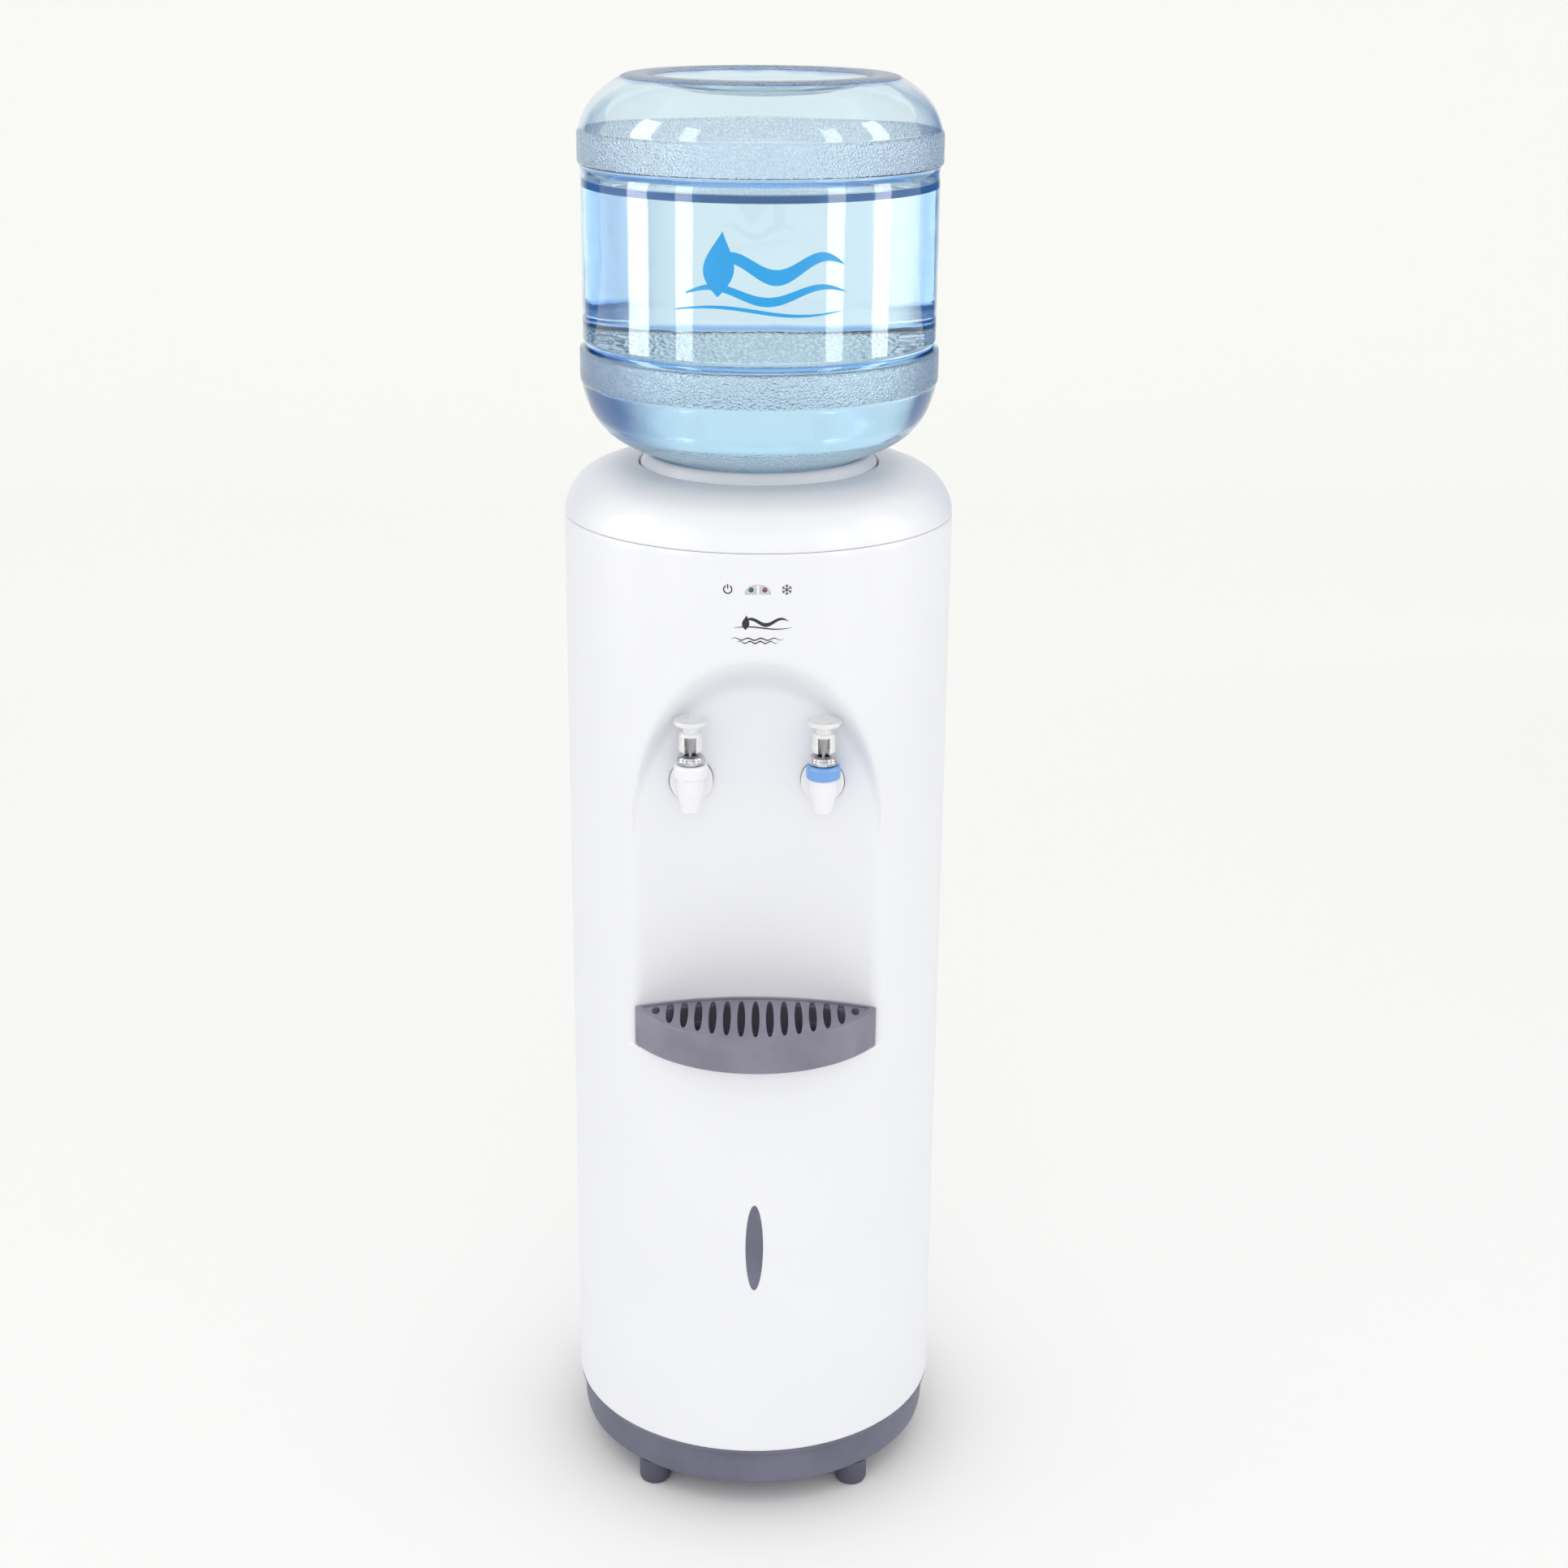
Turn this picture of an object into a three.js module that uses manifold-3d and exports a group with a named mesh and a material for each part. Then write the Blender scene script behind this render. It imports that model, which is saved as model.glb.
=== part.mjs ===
// A free-standing bottled-water dispenser: a round white cabinet with a scooped front, two taps
// over a drip tray, and an upturned three-gallon bottle. Millimetres, +Z up, front towards -Y.
// The floor is z = 0, and the origin is the middle of the whole object's footprint.
import * as THREE from "three";
import { mergeVertices } from "three/addons/utils/BufferGeometryUtils.js";
import Module from "manifold-3d";

const wasm = await Module();
wasm.setup();

// ---- driving dimensions ----
const gap = 0.3; // between pieces that touch
const wall = 2.5; // moulded plastic
const round = 40; // steps round the cabinet

const cabinet = { radius: 150, foot: 21, skirt: 34, height: 753, flatBack: 140 };
const floorZ = cabinet.foot; // underside of the base
const bodyZ = floorZ + cabinet.skirt; // lower edge of the white covers
const seamZ = bodyZ + cabinet.height; // joint between the covers and the lid

const scoop = { radius: 260, depth: 52, halfWidth: 97, archTop: seamZ - 77, bottom: bodyZ + 348.7, lean: 26 };
const scoopAxisY = -(cabinet.radius - scoop.depth) - scoop.radius; // axis of the concave back wall

const tray = { halfWidth: 94, reach: 180, height: 34, draft: 10, wall: 2.5, ledge: 3, floor: 2.5 };
const trayZ = scoop.bottom + gap; // underside of the tray

const tap = {
  spread: 50,
  y: -122,
  nozzleZ: seamZ - 207,
  shankZ: seamZ - 192,
  bonnetZ: seamZ - 183,
  shankEnd: -86,
  shankR: 8,
  flangeR: 16.5,
  flangeZ: seamZ - 185,
};
const tank = { radius: 62, wall: 2, bottom: seamZ - 208, top: seamZ - 18, foam: 18 };
const bottle = { radius: 133.8, band: 136.2, wall: 2, neck: 27.5 };
const rearReach = 155; // how far the drain cap stands behind the cabinet's axis
const axisY = (tray.reach - rearReach) / 2; // puts the origin in the middle of the footprint

// ---- finishes ----
const finish = (color, roughness, metalness = 0, opacity = 1) =>
  new THREE.MeshStandardMaterial({ color, roughness, metalness, opacity, transparent: opacity < 1 });
const whitePlastic = finish(0xf2f3f7, 0.3);
const greyPlastic = finish(0x77748a, 0.45);
const clearBlue = finish(0x9cc8ee, 0.08, 0, 0.4);
const capBlue = finish(0x3f7fd0, 0.45);
const milky = finish(0xf6f8fa, 0.25);
const blueRing = finish(0x6fa8e6, 0.4);
const steel = finish(0xbfc2c6, 0.25, 1);
const aluminium = finish(0xc9ccd0, 0.4, 1);
const foamWhite = finish(0xe6e8ea, 0.9);
const rubber = finish(0xd7dbdf, 0.7);
const blackPlastic = finish(0x1c1d20, 0.5);
const boardGreen = finish(0x1f6b45, 0.6);
const greenLens = finish(0x2f8f72, 0.2);
const redLens = finish(0x9a6a74, 0.2);
const ceramic = finish(0xf4f4f0, 0.6);

// ---- solids ----
function signedVolume(geometry) {
  const p = geometry.attributes.position;
  const index = geometry.index.array;
  const [a, b, c] = [new THREE.Vector3(), new THREE.Vector3(), new THREE.Vector3()];
  let sum = 0;
  for (let i = 0; i < index.length; i += 3) {
    a.fromBufferAttribute(p, index[i]);
    b.fromBufferAttribute(p, index[i + 1]);
    c.fromBufferAttribute(p, index[i + 2]);
    sum += a.dot(b.cross(c));
  }
  return sum;
}

// Positions only, shared vertices merged, faces pointing out.
function clean(geometry) {
  const bare = new THREE.BufferGeometry();
  bare.setAttribute("position", geometry.attributes.position);
  bare.setIndex(geometry.index);
  const merged = mergeVertices(bare, 1e-4);
  const kept = [];
  const index = merged.index.array;
  for (let i = 0; i < index.length; i += 3) {
    const [a, b, c] = [index[i], index[i + 1], index[i + 2]];
    if (a !== b && b !== c && c !== a) kept.push(a, b, c);
  }
  merged.setIndex(kept);
  if (signedVolume(merged) < 0) {
    const flipped = merged.index.array;
    for (let i = 0; i < flipped.length; i += 3) {
      [flipped[i + 1], flipped[i + 2]] = [flipped[i + 2], flipped[i + 1]];
    }
  }
  return merged;
}

function solid(geometry) {
  const g = clean(geometry);
  const vertProperties = new Float32Array(g.attributes.position.array);
  const triVerts = new Uint32Array(g.index.array);
  return new wasm.Manifold(new wasm.Mesh({ numProp: 3, vertProperties, triVerts }));
}

function surface(manifold) {
  const mesh = manifold.getMesh();
  const geometry = new THREE.BufferGeometry();
  geometry.setAttribute("position", new THREE.BufferAttribute(mesh.vertProperties, 3));
  geometry.setIndex(new THREE.BufferAttribute(mesh.triVerts, 1));
  return geometry;
}

const cut = (body, ...tools) => surface(tools.reduce((s, t) => s.subtract(solid(t)), solid(body)));
const join = (body, ...more) => surface(more.reduce((s, t) => s.add(solid(t)), solid(body)));
const common = (body, ...more) => surface(more.reduce((s, t) => s.intersect(solid(t)), solid(body)));

const box = (x0, x1, y0, y1, z0, z1) =>
  new THREE.BoxGeometry(x1 - x0, y1 - y0, z1 - z0).translate((x0 + x1) / 2, (y0 + y1) / 2, (z0 + z1) / 2);

// A profile of [radius, z] pairs turned round the Z axis.
const turned = (profile, steps = round) => {
  const line = profile.map(([r, z]) => new THREE.Vector2(r, z));
  return clean(new THREE.LatheGeometry(line, steps).rotateX(Math.PI / 2));
};

const rod = (r, z0, z1, steps = 24) => turned([[0, z0], [r, z0], [r, z1], [0, z1]], steps);
const pipe = (rOut, rIn, z0, z1, steps = 24) =>
  turned([[rIn, z0], [rOut, z0], [rOut, z1], [rIn, z1], [rIn, z0]], steps);

// A rod, pipe or turned piece laid along Y: what was up points to the back.
const alongY = (geometry) => geometry.rotateX(-Math.PI / 2);
const alongX = (geometry) => geometry.rotateY(Math.PI / 2);

const extruded = (points, z0, z1, holes = []) => {
  const shape = new THREE.Shape(points);
  shape.holes = holes.map((h) => new THREE.Path(h));
  return new THREE.ExtrudeGeometry(shape, { depth: z1 - z0, bevelEnabled: false }).translate(0, 0, z0);
};

// The first outline lies in a plane of constant z or of constant y.
function flattened(outline) {
  const level = outline.every(([, , z]) => Math.abs(z - outline[0][2]) < 1e-6);
  return outline.map(([x, y, z]) => new THREE.Vector2(x, level ? y : z));
}

// A closed solid through outlines of the same number of points, [x, y, z] each.
function lofted(outlines) {
  const n = outlines[0].length;
  const clockwise = THREE.ShapeUtils.area(flattened(outlines[0])) < 0;
  const rings = outlines.map((outline) => (clockwise ? [...outline].reverse() : outline));
  const faces = [];
  for (let k = 0; k + 1 < rings.length; k++) {
    for (let i = 0; i < n; i++) {
      const [a, b] = [k * n + i, k * n + ((i + 1) % n)];
      faces.push(a, b, b + n, a, b + n, a + n);
    }
  }
  const top = (rings.length - 1) * n;
  for (const [a, b, c] of THREE.ShapeUtils.triangulateShape(flattened(rings[0]), [])) {
    faces.push(c, b, a, top + a, top + b, top + c);
  }
  const geometry = new THREE.BufferGeometry();
  geometry.setAttribute("position", new THREE.Float32BufferAttribute(rings.flat(2), 3));
  geometry.setIndex(faces);
  return geometry;
}

const ellipse = (rx, ry, steps, cx = 0, cy = 0) =>
  Array.from({ length: steps }, (_, i) => {
    const t = (2 * Math.PI * i) / steps;
    return new THREE.Vector2(cx + rx * Math.cos(t), cy + ry * Math.sin(t));
  });

// A hose of outside radius r along a smooth curve through points.
function hose(points, r, steps) {
  const path = new THREE.CatmullRomCurve3(points.map((p) => new THREE.Vector3(...p)));
  const section = new THREE.Shape(ellipse(r, r, 8));
  return new THREE.ExtrudeGeometry(section, { steps, extrudePath: path, bevelEnabled: false });
}

const dispenser = new THREE.Group();
const body = new THREE.Group();
body.position.y = axisY;
dispenser.add(body);

function part(name, geometry, material, group = body) {
  const mesh = new THREE.Mesh(clean(geometry), material);
  mesh.name = name;
  group.add(mesh);
  return mesh;
}

// ---- cabinet ----
const reach = 400; // a box this far out covers the whole object

// The cabinet's plan, offset inwards, as a prism: a circle with a flat back.
const drum = (inset, z0, z1) =>
  common(
    rod(cabinet.radius - inset, z0, z1, round),
    box(-reach, reach, -reach, cabinet.flatBack - inset, z0 - 1, z1 + 1),
  );

function archOutline(y, shrink, grow) {
  const half = scoop.halfWidth - shrink * 0.35 + grow;
  const rise = scoop.archTop - shrink + grow;
  const points = [[-half, y, scoop.bottom - grow]];
  const steps = 20;
  for (let i = 0; i <= steps; i++) {
    const t = Math.PI - (Math.PI * i) / steps;
    const springZ = scoop.archTop - 118;
    points.push([half * Math.cos(t), y, springZ + (rise - springZ) * Math.sin(t)]);
  }
  points.push([half, y, scoop.bottom - grow]);
  return points;
}

// What lies in front of the scoop's concave back wall, moved back by grow.
const beforeBackWall = (grow) => rod(scoop.radius + grow, 0, seamZ, 180).translate(0, scoopAxisY, 0);

// The air that the scoop takes out of the cabinet; grown by the wall it gives the scoop's inner side.
function scoopAir(grow) {
  const front = -cabinet.radius - 10;
  const outlines = [0, 0.35, 0.75, 1].map((s) => {
    const y = s === 0 ? front : -cabinet.radius + s * scoop.depth + 4;
    return archOutline(y, s * s * scoop.lean, grow);
  });
  return common(lofted(outlines), beforeBackWall(grow));
}

function ovalOutline(clear) {
  return ellipse(7 + clear, 38 + clear, 32, 0, bodyZ + 188);
}

// An upright outline in XZ, as a prism from y0 to y1.
const upright = (points, y0, y1, holes = []) =>
  extruded(points, -y1, -y0, holes).rotateX(Math.PI / 2);

const bezelZ = seamZ - 26.4;
function bezelOutline(clear) {
  const half = 9.5 + clear;
  const points = [new THREE.Vector2(-half, bezelZ - 3.6 - clear)];
  for (let i = 0; i <= 12; i++) {
    const t = Math.PI - (Math.PI * i) / 12;
    points.push(new THREE.Vector2(half * Math.cos(t), bezelZ - 2 + (6 + clear) * Math.sin(t)));
  }
  points.push(new THREE.Vector2(half, bezelZ - 3.6 - clear));
  return points;
}

const tabX = 42;
const tabZ = trayZ + 14;

function frontCover() {
  const shell = cut(drum(0, bodyZ, seamZ), drum(wall, bodyZ - 1, seamZ + 1));
  const lining = common(drum(0, bodyZ, seamZ), scoopAir(wall));
  const oval = common(
    upright(ovalOutline(gap), -cabinet.radius - 5, -cabinet.radius + 10),
    cut(drum(-5, bodyZ, seamZ), drum(0.9, bodyZ, seamZ)),
  );
  const front = cut(
    join(shell, lining),
    scoopAir(0),
    oval,
    upright(bezelOutline(gap), -reach, -100),
    ...[-tap.spread, tap.spread].map((x) =>
      alongY(rod(tap.shankR + gap, -30, 20, 16)).translate(x, -cabinet.radius + scoop.depth, tap.shankZ),
    ),
    ...[-tabX, tabX].map((x) => box(x - 7, x + 7, -110, -80, tabZ - 0.5, tabZ + 3.5)),
  );
  return common(front, box(-reach, reach, -reach, -gap / 2, 0, seamZ));
}

const vent = { halfWidth: 46, z0: seamZ - 190, z1: seamZ - 50 };
const inlet = { x: 0, z: bodyZ + 60 };
const rocker = { x: 0, z: bodyZ + 110 };
const drain = { x: 30, z: bodyZ + 160 };
const screwSpots = [[-44, bodyZ + 30], [44, bodyZ + 30]];
const back = cabinet.flatBack;

function rearCover() {
  const shell = cut(drum(0, bodyZ, seamZ), drum(wall, bodyZ - 1, seamZ + 1));
  const rear = common(shell, box(-reach, reach, gap / 2, reach, 0, seamZ));
  const ring = cut(drum(wall - 0.5, bodyZ + 15, seamZ - 15), drum(wall * 2 + gap, bodyZ, seamZ));
  const tongueRing = cut(drum(wall + gap, bodyZ + 15, seamZ - 15), drum(wall * 2 + gap, bodyZ, seamZ));
  const roots = common(ring, box(-reach, reach, gap / 2, 8, 0, seamZ));
  const tongues = common(tongueRing, box(-reach, reach, -10, 4, 0, seamZ));
  const lowSlots = [0, 1, 2, 3, 4].map((i) => {
    const z = bodyZ + 205 + 14 * i;
    return box(-40, 40, back - 8, back + 4, z, z + 6);
  });
  return cut(
    join(rear, roots, tongues),
    box(-vent.halfWidth, vent.halfWidth, back - 8, back + 4, vent.z0, vent.z1),
    box(inlet.x - 16, inlet.x + 16, back - 8, back + 4, inlet.z - 12, inlet.z + 12),
    box(rocker.x - 11, rocker.x + 11, back - 8, back + 4, rocker.z - 8, rocker.z + 8),
    alongY(rod(8.3, back - 8, back + 4, 20)).translate(drain.x, 0, drain.z),
    ...lowSlots,
    ...screwSpots.map(([x, z]) => alongY(rod(2.1, back - 8, back + 4, 12)).translate(x, 0, z)),
  );
}

function ventGrille() {
  const [half, z0, z1] = [vent.halfWidth - gap, vent.z0 + gap, vent.z1 - gap];
  const plate = box(-half, half, back - wall, back, z0, z1);
  const flange = box(-half - 4, half + 4, back - wall - gap - 2, back - wall - gap, z0 - 4, z1 + 4);
  const neck = box(-half, half, back - wall - gap - 1, back - wall + 1, z0, z1);
  const count = 9;
  const pitch = (z1 - z0) / count;
  const slots = Array.from({ length: count }, (_, i) => {
    const z = z0 + pitch * (i + 0.5);
    return box(-half + 6, half - 6, back - 12, back + 4, z - 4.5, z + 4.5);
  });
  return cut(join(plate, flange, neck), ...slots);
}

// Sheet-metal upright behind the tank that carries the shelf, the fan and the rear cover's screws.
function rearFrame() {
  const y1 = back - wall - gap - 2 - gap;
  const plate = box(-50, 50, y1 - 2, y1, bodyZ + 8, seamZ - 8);
  return cut(
    plate,
    box(-41, 41, y1 - 4, y1 + 2, vent.z0 + 28, vent.z1 - 20),
    box(-20, 20, y1 - 4, y1 + 2, inlet.z - 18, rocker.z + 14),
    box(drain.x - 11, drain.x + 11, y1 - 4, y1 + 2, drain.z - 11, drain.z + 11),
    ...[202, 300, 398, 496].map((z) => box(-38, 38, y1 - 4, y1 + 2, bodyZ + z, bodyZ + z + 78)),
    ...screwSpots.map(([x, z]) => alongY(rod(2.1, y1 - 5, y1 + 4, 12)).translate(x, 0, z)),
  );
}

const screw = () =>
  join(
    turned([[0, back + gap], [3.6, back + gap], [3.4, back + 1.6], [2, back + 2.4], [0, back + 2.4]], 14),
    rod(1.75, back - 12, back + 1, 10),
  );

// The lid's crown, moved inwards; it runs from the lower edge to the rim of the bottle's opening.
const crown = (inset) => [
  [cabinet.radius - inset, seamZ + gap],
  [149 - inset, seamZ + 8],
  [143 - inset, seamZ + 20 - inset * 0.3],
  [134 - inset * 0.9, seamZ + 29.6 - inset * 0.8],
  [115, seamZ + 36.6 - inset],
  [96, seamZ + 38 - inset],
];
const openingRadius = 92;

function topCover() {
  const inFront = (y) => box(-reach, reach, -reach, y, 0, seamZ + 60);
  const [outer, inner] = [crown(0), crown(wall)];
  const shell = turned([
    ...outer,
    [openingRadius, seamZ + 38],
    [openingRadius, seamZ + 24],
    [96, seamZ + 24],
    ...inner.slice(1).reverse(),
    [cabinet.radius - 2 * wall - 0.6, seamZ + 4],
    [cabinet.radius - 2 * wall - 0.6, seamZ - 8],
    [cabinet.radius - wall - gap, seamZ - 8],
    [cabinet.radius - wall - gap, seamZ + gap],
    outer[0],
  ]);
  const crownSolid = turned([[0, seamZ + gap], ...crown(0), [0, seamZ + 38]]);
  const backWall = common(crownSolid, box(-reach, reach, back - wall, back, 0, seamZ + 60));
  const beside = box(-reach, reach, back - wall - gap, reach, seamZ - 9, seamZ + gap);
  return join(cut(common(shell, inFront(back)), beside), backWall);
}

function basePan() {
  const prism = (r, y, z0, z1) =>
    common(rod(r, z0, z1, round), box(-reach, reach, -reach, y, z0 - 1, z1 + 1));
  const skirt = common(
    turned([[0, floorZ], [144.5, floorZ], [146, floorZ + 6], [146, bodyZ - gap], [0, bodyZ - gap]]),
    box(-reach, reach, -reach, back - 4, 0, bodyZ),
  );
  const flange = prism(149.6, back - 0.4, bodyZ - 3.6, bodyZ - gap);
  const spigot = prism(cabinet.radius - wall - gap, back - wall - gap, bodyZ - 3, bodyZ + 7);
  return cut(
    join(skirt, flange, spigot),
    prism(142.6, back - 7.4, floorZ + 3, bodyZ + 20),
    ...footSpots.map(([x, y]) => rod(4.3, 0, bodyZ, 10).translate(x, y, 0)),
  );
}

const footSpots = [[-82, -104], [82, -104], [-82, 104], [82, 104]];

function foot([x, y]) {
  const top = floorZ - gap;
  return turned(
    [[0, 0], [11.5, 0], [13, 1.5], [13, top], [4, top], [4, top + 9], [0, top + 9]],
    16,
  ).translate(x, y, 0);
}

part("front_cover", frontCover(), whitePlastic);
part("rear_cover", rearCover(), whitePlastic);
part("rear_vent_grille", ventGrille(), greyPlastic);
part("rear_frame", rearFrame(), steel);
part("top_cover", topCover(), whitePlastic);
part("base_pan", basePan(), greyPlastic);
["front_left", "front_right", "rear_left", "rear_right"].forEach((where, i) =>
  part(`foot_${where}`, foot(footSpots[i]), greyPlastic),
);
screwSpots.forEach(([x, z], i) => part(`rear_screw_${i + 1}`, alongY(screw()).translate(x, 0, z), steel));

// ---- badge and lamps on the front cover ----
part(
  "oval_trim",
  common(
    upright(ovalOutline(0), -cabinet.radius - 5, -cabinet.radius + 10),
    cut(drum(-0.5, bodyZ, seamZ), drum(0.6, bodyZ, seamZ)),
  ),
  greyPlastic,
);

const lampX = 4.9;
function indicatorBezel() {
  const shell = cut(drum(-0.4, bezelZ - 10, bezelZ + 10), drum(4, bezelZ - 11, bezelZ + 11));
  const window = common(upright(bezelOutline(0), -reach, -100), shell);
  return cut(window, ...[-lampX, lampX].map((x) => alongY(rod(2.6, -160, -130, 16)).translate(x, 0, bezelZ)));
}
part("indicator_bezel", indicatorBezel(), milky);

const lamp = (x) =>
  alongY(
    turned([[0, -151.2], [1.4, -150.8], [2.3, -149.6], [2.3, -141], [0, -141]], 14),
  ).translate(x, 0, bezelZ);
part("power_lamp", lamp(-lampX), greenLens);
part("cold_lamp", lamp(lampX), redLens);
part("lamp_board", box(-14, 14, -140.6, -139, bezelZ - 9, bezelZ + 9), boardGreen);

// ---- drip tray ----
// A lens in plan: the back follows the scoop, the front bulges out. inset moves both arcs inwards.
function lens(z, inset, frontReach, steps = 16) {
  const backY = -(cabinet.radius - scoop.depth) - gap - inset;
  const frontY = -frontReach + inset;
  const half = tray.halfWidth - inset * 2.2;
  const tipY = -117.6;
  const arc = (sag, from, to) => {
    const r = (half * half + sag * sag) / (2 * Math.abs(sag));
    const turn = Math.asin(half / r);
    return Array.from({ length: steps }, (_, i) => {
      const t = turn * (from + ((to - from) * i) / steps);
      return [r * Math.sin(t), tipY + Math.sign(sag) * (r * Math.cos(t) - r * Math.cos(turn)), z];
    });
  };
  return [...arc(frontY - tipY, -1, 1), ...arc(backY - tipY, 1, -1)];
}

const trayTop = trayZ + tray.height;
const ledgeZ = trayTop - 4.2;

function dripTray() {
  const low = tray.reach - tray.draft;
  const outer = lofted([lens(trayZ, 0, low), lens(trayTop, 0, tray.reach)]);
  const seat = lofted([lens(ledgeZ, tray.wall, tray.reach), lens(trayTop + 1, tray.wall, tray.reach)]);
  const inset = tray.wall + tray.ledge;
  const bowl = lofted([lens(trayZ + tray.floor, inset, low), lens(ledgeZ + 1, inset, tray.reach)]);
  const tabs = [-tabX, tabX].map((x) => box(x - 6, x + 6, -112, -88, tabZ, tabZ + 3));
  const inside = lofted([lens(trayZ + 0.5, 1, low), lens(trayTop - 0.5, 1, tray.reach)]);
  const hooks = tabs.map((t) => cut(t, inside));
  return cut(join(outer, ...hooks), seat, bowl);
}

// Fifteen slots, each as long as the lens is deep at its place.
function gripSlots() {
  const [count, pitch] = [15, 11.1];
  return Array.from({ length: count }, (_, i) => {
    const x = pitch * (i - (count - 1) / 2);
    const share = Math.sqrt(Math.max(0, 1 - (x / 84) ** 2));
    const half = 5 + 26 * share ** 1.35 * (Math.abs(x) > 70 ? 0.25 : 1);
    const mid = -137.6 + 15 * (x / 78) ** 2;
    return extruded(ellipse(2.8, half, 8, x, mid), trayZ, trayTop + 5);
  });
}

function dripGrille() {
  const z0 = ledgeZ + gap;
  const outline = lens(z0, tray.wall + gap, tray.reach).map(([x, y]) => new THREE.Vector2(x, y));
  return cut(extruded(outline, z0, z0 + 2.6), ...gripSlots());
}

part("drip_tray", dripTray(), greyPlastic);
part("drip_grille", dripGrille(), greyPlastic);

// ---- taps ----
const pinZ = tap.bonnetZ + 34; // the lever's pivot

// All of a tap's turned pieces share its own upright axis.
function tapBody(side) {
  const [z0, z1] = [tap.nozzleZ, tap.bonnetZ];
  const nozzle = turned([[0, z0], [7.2, z0], [7.9, z0 + 1], [10.6, z1 - 8], [10.6, z1], [0, z1]], 20);
  const end = tap.shankEnd - tap.y;
  const shank = alongY(rod(tap.shankR, 5, end, 16)).translate(0, 0, tap.shankZ);
  const beforeWall = beforeBackWall(-0.4).translate(-side * tap.spread, -tap.y, 0);
  const flange = common(
    alongY(rod(tap.flangeR, 13.4, 30, 24)).translate(0, 0, tap.flangeZ),
    beforeWall,
  );
  const waterway = alongY(rod(4, 3, end + 5, 10)).translate(0, 0, tap.shankZ);
  const chamber = rod(6.5, z1 - 12, z1 + 1, 16);
  const outlet = rod(4.4, z0 - 1, z1 - 10, 12);
  return cut(join(nozzle, shank, flange), waterway, chamber, outlet);
}

function tapBonnet() {
  const z = tap.bonnetZ;
  return turned(
    [[3, z + 12.6], [3, z + 14.6], [11.6, z + 14.6], [13, z + 13.2], [13, z + 1.2], [12.4, z + gap],
      [9.6, z + gap], [9.6, z + 12.6], [3, z + 12.6]],
    20,
  );
}

function tapRing() {
  const z = tap.bonnetZ + 14.6 + gap;
  return turned([[5, z], [11, z], [11.2, z + 3.6], [10, z + 6.6], [7, z + 7], [5, z + 6], [5, z]], 20);
}

function tapStem() {
  const z = tap.bonnetZ;
  const shaft = rod(2.2, z - 9.5, pinZ - 9, 10);
  const collar = rod(6, z + 1, z + 2.5, 12);
  const tang = box(-4.1, 4.1, -1.8, 1.8, pinZ - 11, pinZ + 3.2);
  return cut(join(shaft, collar, tang), alongX(rod(1.35, -8, 8, 8)).translate(0, 0, pinZ));
}

function tapSeal() {
  const z = tap.bonnetZ - 12 + gap;
  return turned(
    [[0, z], [5.4, z], [6, z + 1.7], [4.6, z + 5], [2.6, z + 5], [2.6, z + 1.9], [0, z + 1.9]],
    12,
  );
}

function tapSpring() {
  const [turns, perTurn, z0, z1] = [4, 8, tap.bonnetZ + 3.5, tap.bonnetZ + 11.6];
  const points = Array.from({ length: turns * perTurn + 1 }, (_, i) => {
    const t = (2 * Math.PI * i) / perTurn;
    return new THREE.Vector3(4.6 * Math.cos(t), 4.6 * Math.sin(t), z0 + ((z1 - z0) * i) / (turns * perTurn));
  });
  const path = new THREE.CatmullRomCurve3(points);
  const section = new THREE.Shape(ellipse(0.6, 0.6, 5));
  const steps = turns * perTurn;
  return new THREE.ExtrudeGeometry(section, { steps, extrudePath: path, bevelEnabled: false });
}

// A cup-shaped push pad on a forked neck that straddles the stem's tang.
function tapLever() {
  const z = pinZ;
  const whole = turned(
    [[0, z - 4], [7.2, z - 4], [7.2, z + 9], [9, z + 11], [14, z + 14.5], [14, z + 16.4], [12.6, z + 17],
      [4, z + 15.4], [0, z + 15.4]],
    20,
  );
  const fork = box(-4.5, 4.5, -9, 9, z - 5, z + 4.4);
  const window = box(-3, 3, -9, 9, z + 5.6, z + 8.8);
  return cut(whole, fork, window, alongX(rod(1.35, -9, 9, 8)).translate(0, 0, z));
}

const tapPin = () => alongX(rod(1.05, -7, 7, 8)).translate(0, 0, pinZ);

function tapNut() {
  const y0 = 25; // behind the scoop's wall, from the tap's own axis
  return cut(
    alongY(rod(14, y0, y0 + 6, 6)),
    alongY(rod(tap.shankR + gap, y0 - 2, y0 + 8, 16)),
  ).translate(0, 0, tap.shankZ);
}

for (const [side, name, ringFinish] of [[-1, "room", whitePlastic], [1, "cold", blueRing]]) {
  const place = new THREE.Group();
  place.position.set(side * tap.spread, tap.y, 0);
  body.add(place);
  part(`tap_body_${name}`, tapBody(side), whitePlastic, place);
  part(`tap_bonnet_${name}`, tapBonnet(), ringFinish, place);
  part(`tap_ring_${name}`, tapRing(), steel, place);
  part(`tap_stem_${name}`, tapStem(), steel, place);
  part(`tap_seal_${name}`, tapSeal(), rubber, place);
  part(`tap_spring_${name}`, tapSpring(), steel, place);
  part(`tap_lever_${name}`, tapLever(), milky, place);
  part(`tap_pin_${name}`, tapPin(), steel, place);
  part(`tap_nut_${name}`, tapNut(), whitePlastic, place);
}

// ---- bottle and its seat ----
const lift = (profile, dz) => profile.map(([r, z]) => [r, z + dz]);

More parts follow.
